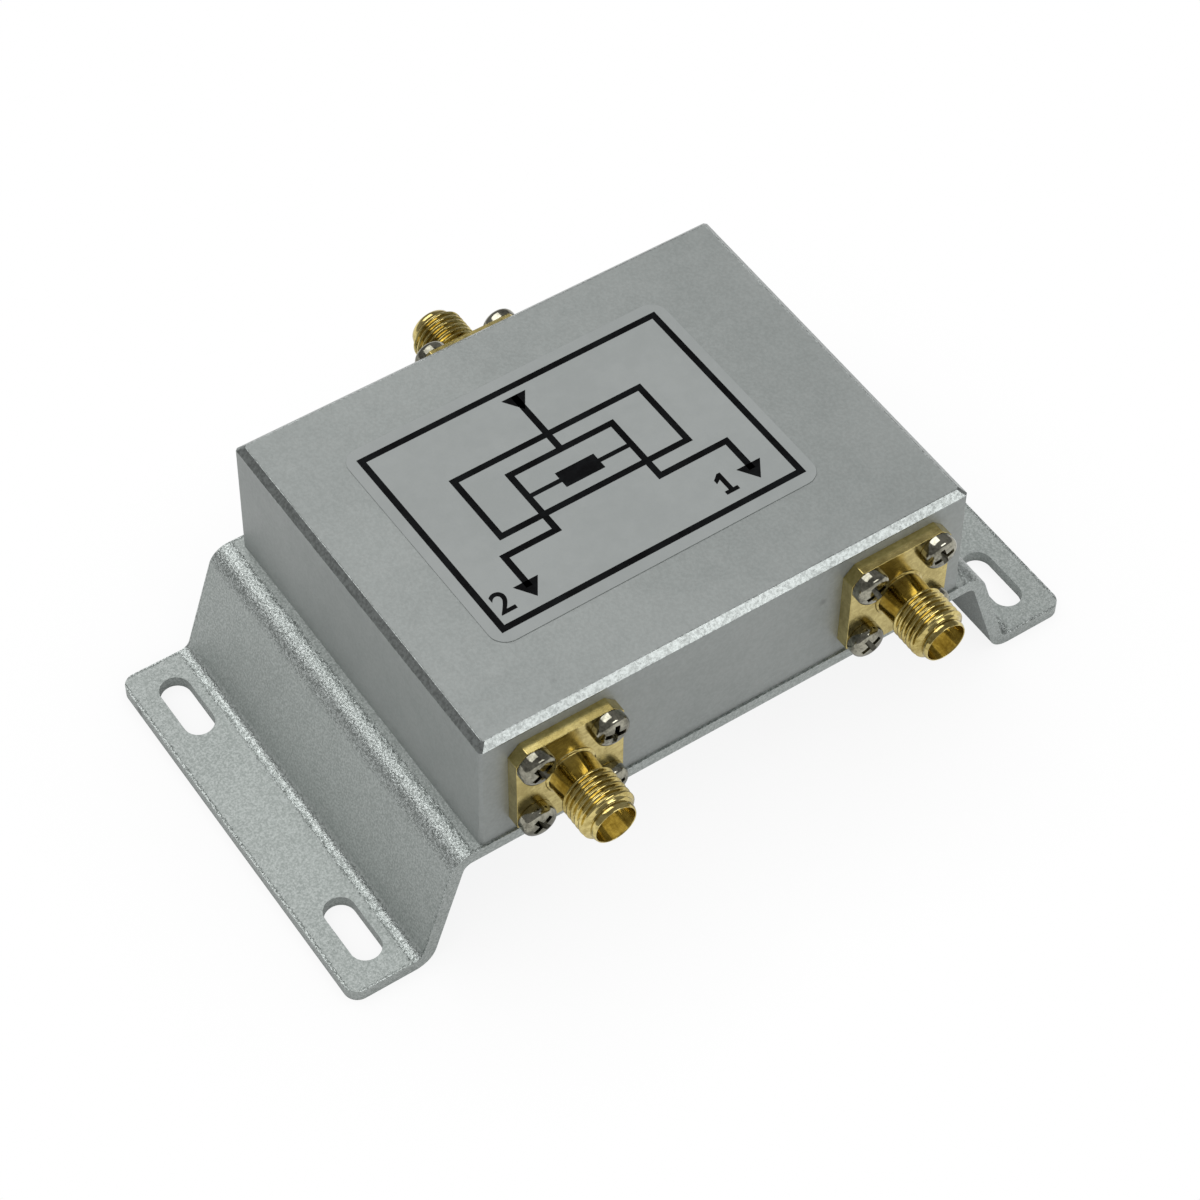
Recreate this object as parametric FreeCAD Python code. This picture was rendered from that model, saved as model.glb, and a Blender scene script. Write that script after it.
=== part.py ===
import FreeCAD, Part
import math
import os

# Three-port radio-frequency power splitter: a drafted aluminium housing closed from below by a
# bent sheet bracket, with one threaded coaxial jack on the back wall and two on the front wall.
# Millimetres. Z = 0 is the underside of the feet, X runs from foot to foot, -Y is the side with
# the two output jacks. The origin is the centre of the whole footprint.

os.makedirs("parts", exist_ok=True)

V = FreeCAD.Vector
X_AXIS = V(1, 0, 0)
Y_AXIS = V(0, 1, 0)
Z_AXIS = V(0, 0, 1)

# Housing
HOUSING_LENGTH = 60.1
HOUSING_DEPTH = 47.0
HOUSING_HEIGHT = 16.0
HOUSING_DRAFT = 0.25
HOUSING_TOP_BEVEL = 0.75
HOUSING_CORNER_BEVEL = 0.3
END_WALL = 6.05
WALL = 4.25
ROOF_THICKNESS = 2.5
CAVITY_CORNER_RADIUS = 3.0

# Bracket: one sheet, two identical Z-bends
SHEET = 1.5
DECK_TOP = 15.2
DECK_LEDGE = 3.15
BEND_RUN = 4.45
FOOT_REACH = 8.45
BEND_INNER_RADIUS = 1.2
FOOT_CORNER_RADIUS = 1.6
BRACKET_LIP = 0.7
BRACKET_SHIFT_Y = 0.4
SLOT_LENGTH = 8.6
SLOT_WIDTH = 3.5
SLOT_TIP_INSET = 4.4
SLOT_END_INSET = 2.75

# Label
LABEL_LENGTH = 40.0
LABEL_DEPTH = 30.0
LABEL_THICKNESS = 0.1
LABEL_CORNER_RADIUS = 2.0
LABEL_X = -1.6
LABEL_Y = 1.1
LABEL_TURN = 0.6

# Coaxial jacks
PORT_INSET = 9.73
PORT_DROP = 0.5
FLANGE_SIZE = 12.7
FLANGE_THICKNESS = 1.6
FLANGE_CORNER_CUT = 1.3
FLANGE_HOLE_INSET = 2.03
JACK_REACH = 9.6
NECK_RADIUS = 2.65
NECK_LENGTH = 2.85
THREAD_RADIUS = 3.175
NOSE_RADIUS = 2.55
NOSE_LENGTH = 0.7
MOUTH_RADIUS = 2.3
MOUTH_DEPTH = 3.2
INSULATOR_RADIUS = 2.05
CONTACT_RADIUS = 0.635
CONTACT_SOCKET_RADIUS = 0.465
CONTACT_SOCKET_DEPTH = 2.6
CONTACT_SLIT_WIDTH = 0.16
CONTACT_SLIT_DEPTH = 1.8
CONTACT_TAIL = 2.6

# Screws; hidden threaded shanks and their holes are many-sided prisms
SHANK_SIDES = 12
FLANGE_SCREW_RADIUS = 1.09
FLANGE_SCREW_LENGTH = 5.0
PAN_HEAD_RADIUS = 2.0
PAN_HEAD_HEIGHT = 1.6
COVER_SCREW_RADIUS = 1.42
COVER_SCREW_LENGTH = 6.5
COVER_SCREW_INSET = 5.9
COUNTERSINK_ANGLE = 82.0
BOARD_SCREW_RADIUS = 1.0
BOARD_SCREW_LENGTH = 4.0
BOARD_HEAD_RADIUS = 2.1
BOARD_HEAD_HEIGHT = 1.3
BOARD_HEAD_SIDES = 6

# Circuit board and what stands on it, hung from posts under the roof
POST_WIDTH = 5.0
POST_INSET_X = 3.2
POST_INSET_Y = 4.65
POST_TO_PORT = 5.72
BOARD_THICKNESS = 1.0
COPPER = 0.07
FEED_WIDTH = 2.2
FEED_END_GAP = 0.3
LINE_WIDTH = 1.0
LINE_INNER_X = 1.6
LINE_TO_PORT = 3.12
LINE_INSET = 4.75
LINE_PITCH = 3.4
LINE_RUNS = 7
RESISTOR_LENGTH = 3.2
RESISTOR_DEPTH = 1.6
RESISTOR_HEIGHT = 0.55
SOLDER_RADIUS = 1.05
SOLDER_LENGTH = 2.0
SOLDER_OVERRUN = 0.6

# Clearances
BOARD_CLEARANCE = 0.5
SCREW_CLEARANCE = 0.05
FLANGE_HOLE_CLEARANCE = 0.2
FIT_CLEARANCE = 0.02
BUSHING_CLEARANCE = 0.1
TAPPED_SPARE_DEPTH = 0.4
CUT_MARGIN = 0.5

HALF_LENGTH = HOUSING_LENGTH / 2
HALF_DEPTH = HOUSING_DEPTH / 2
CAVITY_LENGTH = HOUSING_LENGTH - 2 * END_WALL
CAVITY_DEPTH = HOUSING_DEPTH - 2 * WALL
BOARD_LENGTH = CAVITY_LENGTH - 2 * BOARD_CLEARANCE
BOARD_DEPTH = CAVITY_DEPTH - 2 * BOARD_CLEARANCE
BOARD_CORNER_CUT = CAVITY_CORNER_RADIUS - BOARD_CLEARANCE
BEND_TOP_X = HALF_LENGTH + DECK_LEDGE
BEND_FOOT_X = BEND_TOP_X + BEND_RUN
BRACKET_TIP = BEND_FOOT_X + FOOT_REACH
BRACKET_DEPTH = HOUSING_DEPTH + 2 * BRACKET_LIP
HOUSING_TOP = DECK_TOP + HOUSING_HEIGHT
DECK_UNDER = DECK_TOP - SHEET
CAVITY_TOP = HOUSING_TOP - ROOF_THICKNESS
PORT_X = HALF_LENGTH - PORT_INSET
PORT_HEIGHT = DECK_TOP + HOUSING_HEIGHT / 2 - PORT_DROP
NECK_END = FLANGE_THICKNESS + NECK_LENGTH
THREAD_END = JACK_REACH - NOSE_LENGTH
TRACE_FACE = PORT_HEIGHT + CONTACT_RADIUS
BOARD_BOTTOM = TRACE_FACE + COPPER
BOARD_TOP = BOARD_BOTTOM + BOARD_THICKNESS
POST_END = BOARD_TOP + COPPER
CORNER_SIGNS = [(-1, -1), (-1, 1), (1, -1), (1, 1)]


def save(node, shape):
    """Write one node to its own STEP file."""
    shape.exportStep("parts/" + node + ".step")


def box(x0, x1, y0, y1, z0, z1):
    """Axis-aligned block between two corners."""
    return Part.makeBox(x1 - x0, y1 - y0, z1 - z0, V(x0, y0, z0))


def cylinder(radius, z0, z1, x=0.0, y=0.0):
    """Upright cylinder between two heights."""
    return Part.makeCylinder(radius, z1 - z0, V(x, y, z0), Z_AXIS)


def rounded_block(length, depth, z0, z1, radius):
    """Centred block with rounded vertical edges."""
    block = box(-length / 2, length / 2, -depth / 2, depth / 2, z0, z1)
    upright = [edge for edge in block.Edges if is_upright(edge)]
    return block.makeFillet(radius, upright)


def is_upright(edge):
    """True for an edge that mostly runs up and down."""
    bounds = edge.BoundBox
    return bounds.ZLength > max(bounds.XLength, bounds.YLength)


def prism(points, direction):
    """Extrude a closed polygon."""
    loop = [V(*point) for point in points]
    return Part.Face(Part.makePolygon(loop + loop[:1])).extrude(direction)


def many_sided(sides, radius, z0, z1, x=0.0, y=0.0):
    """Upright prism over a regular polygon."""
    angles = [2 * math.pi * side / sides for side in range(sides)]
    corners = [(x + radius * math.cos(a), y + radius * math.sin(a), z0) for a in angles]
    return prism(corners, V(0, 0, z1 - z0))


def shank(radius, z0, z1, x=0.0, y=0.0):
    """A threaded shank, or the hole for it, that nothing shows."""
    return many_sided(SHANK_SIDES, radius, z0, z1, x, y)


def turned(outline):
    """Revolve an outline of (radius, height) pairs about Z."""
    points = [V(radius, 0, height) for radius, height in outline]
    face = Part.Face(Part.makePolygon(points + points[:1]))
    return face.revolve(V(0, 0, 0), Z_AXIS, 360)


def merge(shapes):
    """Fuse shapes into one clean solid."""
    first = shapes[0]
    return first.fuse(shapes[1:]).removeSplitter()


def moved(shape, x, y, z):
    """Copy of a shape at another place."""
    copy = shape.copy()
    copy.translate(V(x, y, z))
    return copy


# Placing: jacks are drawn upright, outward along +Z and with +Y as their upper side
PORTS = {
    "input": (0.0, 1),
    "output_1": (PORT_X, -1),
    "output_2": (-PORT_X, -1),
}


def place_at_port(shape, port):
    """Turn an upright jack shape outward and move it to its place on the wall."""
    x, side = PORTS[port]
    placed = shape.copy()
    placed.rotate(V(0, 0, 0), X_AXIS, 90)
    if side > 0:
        placed.rotate(V(0, 0, 0), Z_AXIS, 180)
    placed.translate(V(x, side * HALF_DEPTH, PORT_HEIGHT))
    return placed


def hole_centres():
    """The four screw positions of a flange, in the jack's own frame."""
    step = FLANGE_SIZE / 2 - FLANGE_HOLE_INSET
    return [(sx * step, sy * step) for sx, sy in CORNER_SIGNS]


# Bracket
def bracket_outline():
    """Half profile corners of the bent sheet, outer side first, right half."""
    bend_angle = math.atan2(DECK_UNDER, BEND_RUN)
    shift = SHEET * math.tan(bend_angle / 2)
    upper = [(BEND_TOP_X, DECK_TOP), (BEND_FOOT_X, SHEET), (BRACKET_TIP, SHEET)]
    lower = [(BRACKET_TIP, 0.0), (BEND_FOOT_X - shift, 0.0), (BEND_TOP_X - shift, DECK_UNDER)]
    return upper, lower


def bend_edges(sheet, corners):
    """Find the long sheet edges that pass through the given profile corners."""
    found = []
    for edge in sheet.Edges:
        bounds = edge.BoundBox
        if bounds.YLength < BRACKET_DEPTH / 2:
            continue
        for x, z in corners:
            if abs(abs(bounds.XMin) - x) < 1e-4 and abs(bounds.ZMin - z) < 1e-4:
                found.append(edge)
    return found


def slot_cutter():
    """Stadium-shaped cutter through a foot, long side along Y."""
    half = (SLOT_LENGTH - SLOT_WIDTH) / 2
    radius = SLOT_WIDTH / 2
    bottom, top = -CUT_MARGIN, SHEET + CUT_MARGIN
    ends = [cylinder(radius, bottom, top, 0, sign * half) for sign in (-1, 1)]
    return merge([box(-radius, radius, -half, half, bottom, top)] + ends)


def slot_places():
    """X and Y of the four slots, before the bracket's own shift."""
    x = BRACKET_TIP - SLOT_TIP_INSET
    y = BRACKET_DEPTH / 2 - SLOT_END_INSET - SLOT_LENGTH / 2
    return [(sx * x, sy * y) for sx, sy in CORNER_SIGNS]


def cone_radius(z, clearance):
    """Radius of a cover screw's head at a height; the head is as deep as the sheet."""
    slope = math.tan(math.radians(COUNTERSINK_ANGLE / 2))
    return COVER_SCREW_RADIUS + clearance + (DECK_TOP - z) * slope


def countersink():
    """Cutter for one cover screw, drawn at the origin in X and Y."""
    low = DECK_UNDER - CUT_MARGIN
    high = DECK_TOP + CUT_MARGIN
    wide = cone_radius(low, SCREW_CLEARANCE)
    narrow = cone_radius(high, SCREW_CLEARANCE)
    return turned([(0, low), (wide, low), (narrow, high), (0, high)])


def cover_screw_places():
    """X and Y of the four screws that close the housing, along the middle of its end walls."""
    x = HALF_LENGTH - END_WALL / 2
    y = HALF_DEPTH - COVER_SCREW_INSET
    return [(sx * x, sy * y) for sx, sy in CORNER_SIGNS]


def make_bracket():
    """Bent sheet with a raised deck, two feet, four slots and four countersinks."""
    upper, lower = bracket_outline()
    right = upper + lower
    left = [(-x, z) for x, z in reversed(right)]
    profile = [(x, 0, z) for x, z in right + left]
    sheet = prism(profile, V(0, BRACKET_DEPTH, 0))
    sheet.translate(V(0, -BRACKET_DEPTH / 2, 0))
    outer = bend_edges(sheet, [upper[0], lower[1]])
    sheet = sheet.makeFillet(BEND_INNER_RADIUS + SHEET, outer)
    inner = bend_edges(sheet, [upper[1], lower[2]])
    sheet = sheet.makeFillet(BEND_INNER_RADIUS, inner)
    corners = [e for e in sheet.Edges if is_upright(e) and abs(abs(e.BoundBox.XMin) - BRACKET_TIP) < 1e-4]
    sheet = sheet.makeFillet(FOOT_CORNER_RADIUS, corners)
    slot = slot_cutter()
    for x, y in slot_places():
        sheet = sheet.cut(moved(slot, x, y, 0))
    sheet.translate(V(0, BRACKET_SHIFT_Y, 0))
    hole = countersink()
    for x, y in cover_screw_places():
        sheet = sheet.cut(moved(hole, x, y, 0))
    return sheet


# Housing
def broken_rectangle(half_x, half_y, bevel, z):
    """Corners of a flat rectangle with its own four corners cut off."""
    corners = [
        (half_x - bevel, -half_y),
        (half_x, -half_y + bevel),
        (half_x, half_y - bevel),
        (half_x - bevel, half_y),
    ]
    mirrored = [(-x, y) for x, y in reversed(corners)]
    return [V(x, y, z) for x, y in corners + mirrored]


def flat_faced_solid(sections):
    """Solid through stacked outlines of equal corner count, closed by flat faces."""
    loops = [sections[0], sections[-1]]
    for low, high in zip(sections, sections[1:]):
        for here in range(len(low)):
            after = (here + 1) % len(low)
            loops.append([low[here], low[after], high[after], high[here]])
    faces = [Part.Face(Part.makePolygon(loop + loop[:1])) for loop in loops]
    return Part.makeSolid(Part.makeShell(faces))


def housing_block():
    """Solid block with drafted ends, broken corners and bevelled top edges."""
    shoulder = HOUSING_TOP - HOUSING_TOP_BEVEL
    head = HALF_LENGTH - HOUSING_DRAFT
    inset = HOUSING_TOP_BEVEL
    sections = [
        broken_rectangle(HALF_LENGTH, HALF_DEPTH, HOUSING_CORNER_BEVEL, DECK_TOP),
        broken_rectangle(head, HALF_DEPTH, HOUSING_CORNER_BEVEL, shoulder),
        broken_rectangle(head - inset, HALF_DEPTH - inset, HOUSING_CORNER_BEVEL, HOUSING_TOP),
    ]
    return flat_faced_solid(sections)


def board_post_places():
    """X and Y of the four posts that carry the circuit board, clear of the output feeds."""
    y = CAVITY_DEPTH / 2 - POST_INSET_Y
    back = [(sign * (CAVITY_LENGTH / 2 - POST_INSET_X), y) for sign in (-1, 1)]
    front = [(sign * (PORT_X - POST_TO_PORT), -y) for sign in (-1, 1)]
    return back + front


def wall_cutter():
    """Hole for the insulator and blind holes for the screws of one jack, upright."""
    through = cylinder(INSULATOR_RADIUS + BUSHING_CLEARANCE, -WALL - CUT_MARGIN, CUT_MARGIN)
    depth = FLANGE_SCREW_LENGTH - FLANGE_THICKNESS + TAPPED_SPARE_DEPTH
    radius = FLANGE_SCREW_RADIUS + SCREW_CLEARANCE
    holes = [shank(radius, -depth, CUT_MARGIN, x, y) for x, y in hole_centres()]
    return Part.makeCompound([through] + holes)


def make_housing():
    """Hollow housing, open below, with board posts and screw holes."""
    shell = housing_block()
    cavity = rounded_block(
        CAVITY_LENGTH, CAVITY_DEPTH, DECK_TOP - CUT_MARGIN, CAVITY_TOP, CAVITY_CORNER_RADIUS
    )
    shell = shell.cut(cavity)
    half = POST_WIDTH / 2
    post = box(-half, half, -half, half, POST_END, CAVITY_TOP + CUT_MARGIN)
    shell = merge([shell] + [moved(post, x, y, 0) for x, y in board_post_places()])
    screw_hole = BOARD_SCREW_RADIUS + SCREW_CLEARANCE
    hole_top = BOARD_BOTTOM + BOARD_SCREW_LENGTH + TAPPED_SPARE_DEPTH
    for x, y in board_post_places():
        shell = shell.cut(shank(screw_hole, POST_END - CUT_MARGIN, hole_top, x, y))
    cover_hole = COVER_SCREW_RADIUS + SCREW_CLEARANCE
    cover_top = DECK_UNDER + COVER_SCREW_LENGTH + TAPPED_SPARE_DEPTH
    for x, y in cover_screw_places():
        shell = shell.cut(shank(cover_hole, DECK_TOP - CUT_MARGIN, cover_top, x, y))
    for port in PORTS:
        shell = shell.cut(place_at_port(wall_cutter(), port))
    return shell


def make_label():
    """Thin sheet with rounded corners, laid slightly askew on the housing."""
    sheet = rounded_block(
        LABEL_LENGTH, LABEL_DEPTH, HOUSING_TOP, HOUSING_TOP + LABEL_THICKNESS, LABEL_CORNER_RADIUS
    )
    sheet.rotate(V(0, 0, 0), Z_AXIS, LABEL_TURN)
    sheet.translate(V(LABEL_X, LABEL_Y, 0))
    return sheet


# Coaxial jack
def make_jack_body():
    """Square flange with a stepped barrel; its screw thread is a plain cylinder here."""
    half = FLANGE_SIZE / 2
    flange = box(-half, half, -half, half, 0, FLANGE_THICKNESS)
    upright = [edge for edge in flange.Edges if is_upright(edge)]
    flange = flange.makeChamfer(FLANGE_CORNER_CUT, upright)
    thread_chamfer = THREAD_RADIUS - NOSE_RADIUS
    outline = [
        (0, 0),
        (NECK_RADIUS, 0),
        (NECK_RADIUS, NECK_END),
        (THREAD_RADIUS, NECK_END),
        (THREAD_RADIUS, THREAD_END - thread_chamfer),
        (NOSE_RADIUS, THREAD_END),
        (NOSE_RADIUS, JACK_REACH),
        (0, JACK_REACH),
    ]
    body = merge([flange, turned(outline)])
    mouth_floor = JACK_REACH - MOUTH_DEPTH
    bore = INSULATOR_RADIUS + FIT_CLEARANCE
    bore_outline = [
        (0, -CUT_MARGIN),
        (bore, -CUT_MARGIN),
        (bore, mouth_floor),
        (MOUTH_RADIUS, mouth_floor),
        (MOUTH_RADIUS, JACK_REACH + CUT_MARGIN),
        (0, JACK_REACH + CUT_MARGIN),
    ]
    body = body.cut(turned(bore_outline))
    hole = FLANGE_SCREW_RADIUS + FLANGE_HOLE_CLEARANCE
    for x, y in hole_centres():
        body = body.cut(shank(hole, -CUT_MARGIN, FLANGE_THICKNESS + CUT_MARGIN, x, y))
    return body


def make_insulator():
    """White bushing from the mouth of the jack through the housing wall."""
    top = JACK_REACH - MOUTH_DEPTH
    sleeve = cylinder(INSULATOR_RADIUS, -WALL, top)
    bore = CONTACT_RADIUS + FIT_CLEARANCE
    return sleeve.cut(cylinder(bore, -WALL - CUT_MARGIN, top + CUT_MARGIN))


def make_contact():
    """Centre pin: slit socket at the mouth, plain tail over the circuit board."""
    top = JACK_REACH - MOUTH_DEPTH
    pin = cylinder(CONTACT_RADIUS, -WALL - CONTACT_TAIL, top)
    pin = pin.cut(cylinder(CONTACT_SOCKET_RADIUS, top - CONTACT_SOCKET_DEPTH, top + CUT_MARGIN))
    half = CONTACT_SLIT_WIDTH / 2
    reach = CONTACT_RADIUS + CUT_MARGIN
    floor = top - CONTACT_SLIT_DEPTH
    slit = box(-reach, reach, -half, half, floor, top + CUT_MARGIN)
    cross_slit = box(-half, half, -reach, reach, floor, top + CUT_MARGIN)
    return pin.cut([slit, cross_slit])


# Screws
def make_flange_screws():
    """The four pan-head screws of one jack, in the jack's own frame."""
    head = cylinder(PAN_HEAD_RADIUS, 0, PAN_HEAD_HEIGHT)
    screw = merge([head, shank(FLANGE_SCREW_RADIUS, -FLANGE_SCREW_LENGTH, 0)])
    return Part.makeCompound([moved(screw, x, y, FLANGE_THICKNESS) for x, y in hole_centres()])


def make_cover_screws():
    """Countersunk screws that go up through the deck into the housing."""
    head_radius = cone_radius(DECK_UNDER, 0)
    neck = cone_radius(DECK_TOP, 0)
    head = turned([(0, DECK_UNDER), (head_radius, DECK_UNDER), (neck, DECK_TOP), (0, DECK_TOP)])
    screw = merge([head, shank(COVER_SCREW_RADIUS, DECK_TOP, DECK_UNDER + COVER_SCREW_LENGTH)])
    return Part.makeCompound([moved(screw, x, y, 0) for x, y in cover_screw_places()])


def make_board_screws():
    """Hexagon-head screws that hold the circuit board up against the roof posts."""
    head_bottom = BOARD_BOTTOM - BOARD_HEAD_HEIGHT
    head = many_sided(BOARD_HEAD_SIDES, BOARD_HEAD_RADIUS, head_bottom, BOARD_BOTTOM)
    screw = merge([head, shank(BOARD_SCREW_RADIUS, BOARD_BOTTOM, BOARD_BOTTOM + BOARD_SCREW_LENGTH)])
    return Part.makeCompound([moved(screw, x, y, 0) for x, y in board_post_places()])


# Circuit board
def board_layer(z0, z1):
    """One flat layer of the circuit board with its screw holes."""
    layer = box(-BOARD_LENGTH / 2, BOARD_LENGTH / 2, -BOARD_DEPTH / 2, BOARD_DEPTH / 2, z0, z1)
    layer = layer.makeChamfer(BOARD_CORNER_CUT, [edge for edge in layer.Edges if is_upright(edge)])
    radius = BOARD_SCREW_RADIUS + SCREW_CLEARANCE
    for x, y in board_post_places():
        layer = layer.cut(shank(radius, z0 - CUT_MARGIN, z1 + CUT_MARGIN, x, y))
    return layer


def strip(x0, y0, x1, y1, width):
    """Flat copper strip between two points, with square ends."""
    half = width / 2
    left, right = min(x0, x1) - half, max(x0, x1) + half
    front, back = min(y0, y1) - half, max(y0, y1) + half
    return box(left, right, front, back, TRACE_FACE, BOARD_BOTTOM)


def arm_path():
    """Corner points of one dividing line: folded runs from the junction to the output."""
    y = BOARD_DEPTH / 2 - LINE_INSET
    points = [(0.0, y)]
    outward = True
    for _ in range(LINE_RUNS - 1):
        x = PORT_X - LINE_TO_PORT if outward else LINE_INNER_X
        points.append((x, y))
        y -= LINE_PITCH
        points.append((x, y))
        outward = not outward
    points.append((PORT_X, y))
    return points


def make_trace_pattern():
    """Input feed, two mirrored folded lines and two output feeds as one copper layer."""
    feed_y = BOARD_DEPTH / 2 - FEED_END_GAP - FEED_WIDTH / 2
    path = arm_path()
    first_y = path[0][1]
    last_y = path[-1][1]
    pieces = [strip(0, feed_y, 0, first_y, FEED_WIDTH)]
    for sign in (-1, 1):
        for (x0, y0), (x1, y1) in zip(path, path[1:]):
            pieces.append(strip(sign * x0, y0, sign * x1, y1, LINE_WIDTH))
        pieces.append(strip(sign * PORT_X, last_y, sign * PORT_X, -feed_y, FEED_WIDTH))
    return merge(pieces)


def resistor_rows():
    """Y of the isolation resistors: the turns nearest the middle line."""
    path = arm_path()
    turns = [(here, after) for here, after in zip(path, path[1:]) if here[0] == after[0] == LINE_INNER_X]
    return [(here[1] + after[1]) / 2 for here, after in turns]


def make_resistor(row_y):
    """Chip resistor bridging the two lines."""
    half_x = RESISTOR_LENGTH / 2
    half_y = RESISTOR_DEPTH / 2
    return box(-half_x, half_x, row_y - half_y, row_y + half_y, TRACE_FACE - RESISTOR_HEIGHT, TRACE_FACE)


def make_solder(port):
    """Half-round bead of solder around the tail of a contact, on the underside of its feed."""
    x, side = PORTS[port]
    tail_end = HALF_DEPTH - WALL - CONTACT_TAIL
    start = tail_end - SOLDER_OVERRUN
    bead = Part.makeCylinder(SOLDER_RADIUS, SOLDER_LENGTH, V(x, side * start, TRACE_FACE), Y_AXIS * side)
    reach = SOLDER_RADIUS + CUT_MARGIN
    above = box(x - reach, x + reach, -HALF_DEPTH, HALF_DEPTH, TRACE_FACE, TRACE_FACE + reach)
    tail = Part.makeCylinder(CONTACT_RADIUS, HALF_DEPTH, V(x, side * tail_end, PORT_HEIGHT), Y_AXIS * side)
    return bead.cut([above, tail])


def main():
    """Build every node."""
    save("mounting_bracket", make_bracket())
    save("housing", make_housing())
    save("label", make_label())
    save("cover_screws", make_cover_screws())
    jack_pieces = {
        "body": make_jack_body(),
        "insulator": make_insulator(),
        "contact": make_contact(),
        "flange_screws": make_flange_screws(),
    }
    for port in PORTS:
        for piece, shape in jack_pieces.items():
            save(port + "_" + piece, place_at_port(shape, port))
        save(port + "_solder", make_solder(port))
    save("circuit_board", board_layer(BOARD_BOTTOM, BOARD_TOP))
    save("ground_plane", board_layer(BOARD_TOP, POST_END))
    save("trace_pattern", make_trace_pattern())
    save("board_screws", make_board_screws())
    for number, row_y in enumerate(resistor_rows(), start=1):
        save("isolation_resistor_" + str(number), make_resistor(row_y))


main()
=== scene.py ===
"""Radio-frequency power splitter: a blasted aluminium box on a bent bracket, with three gold-plated
threaded jacks. Metres; Z = 0 is the plane under the feet, X runs from foot to foot and -Y is the
side with the two output jacks. The sub-assemblies' sizes are in millimetres, those of the finishes
and the studio in metres."""

import logging
import math
from dataclasses import dataclass
from enum import Enum
from functools import cache
from typing import Callable, Mapping, Sequence, Union

import bmesh
import bpy
from bmesh.types import BMesh, BMFace, BMVert
from bpy.types import Material, Mesh, Node, NodeSocket, NodeTree, Object
from mathutils import Matrix, Vector


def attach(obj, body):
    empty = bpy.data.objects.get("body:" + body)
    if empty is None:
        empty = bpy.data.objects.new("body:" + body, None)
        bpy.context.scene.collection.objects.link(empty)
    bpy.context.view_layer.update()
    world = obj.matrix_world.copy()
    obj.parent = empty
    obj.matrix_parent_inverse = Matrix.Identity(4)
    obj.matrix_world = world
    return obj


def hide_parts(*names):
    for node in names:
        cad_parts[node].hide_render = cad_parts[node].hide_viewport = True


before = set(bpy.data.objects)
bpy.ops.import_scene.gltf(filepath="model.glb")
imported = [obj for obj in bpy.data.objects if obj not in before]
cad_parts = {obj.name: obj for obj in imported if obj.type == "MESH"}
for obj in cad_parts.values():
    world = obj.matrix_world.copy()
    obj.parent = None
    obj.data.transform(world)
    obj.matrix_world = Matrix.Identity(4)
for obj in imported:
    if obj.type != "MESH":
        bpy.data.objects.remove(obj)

LOG = logging.getLogger("power_splitter")
MM = 0.001
BODY = "root"
FULL_TURN = 2 * math.pi
SIGNS = (-1, 1)

# Distances in metres under which points are one, and the angle under which faces are one
SAME_POINT = 1e-7
SAME_RING_POINT = 1e-8
NO_LENGTH = 1e-9
THREAD_JOINT = 2e-6
SAME_PLANE = math.radians(0.5)

Value = Union[NodeSocket, float, int, Sequence[float]]
Sockets = Mapping[str, NodeSocket]
Color = tuple[float, float, float, float]
Pair = tuple[float, float]
Triple = tuple[float, float, float]
Box = tuple[float, float, float, float]


def mm(x: float, y: float, z: float) -> Vector:
    """Point or distance given in millimetres."""
    return Vector((x, y, z)) * MM


def shift(x: float, y: float, z: float) -> Matrix:
    """Matrix that moves by a distance in millimetres."""
    return Matrix.Translation(mm(x, y, z))


class Port(Enum):
    """The three jacks: name, distance along the wall in mm, side of the wall, seed of the screws."""

    INPUT = ("input", 0.0, 1, 11)
    OUTPUT_1 = ("output_1", 20.32, -1, 4)
    OUTPUT_2 = ("output_2", -20.32, -1, 7)

    @property
    def label(self) -> str:
        """Name that the jack's pieces start with."""
        return self.value[0]

    @property
    def seed(self) -> int:
        """Seed of the turns of the jack's screws."""
        return self.value[3]

    def placing(self, wall_y: float, height: float) -> Matrix:
        """Matrix from the jack's own frame (outward along Z, up along Y) to its place.

        Args:
            wall_y: distance of the wall's outer face from the middle, in mm.
            height: height of the jack's axis, in mm.

        Returns:
            A matrix for coordinates in metres.
        """
        _, x, side, _ = self.value
        turn = Matrix.Rotation(math.radians(90), 4, "X")
        if side > 0:
            turn = Matrix.Rotation(math.radians(180), 4, "Z") @ turn
        return shift(x, side * wall_y, height) @ turn


class Gleam(Enum):
    """How far the gold plating is polished: roughness and strength of the drag lines."""

    SATIN = (0.20, 0.12)
    POLISHED = (0.12, 0.06)


# Node trees


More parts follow.
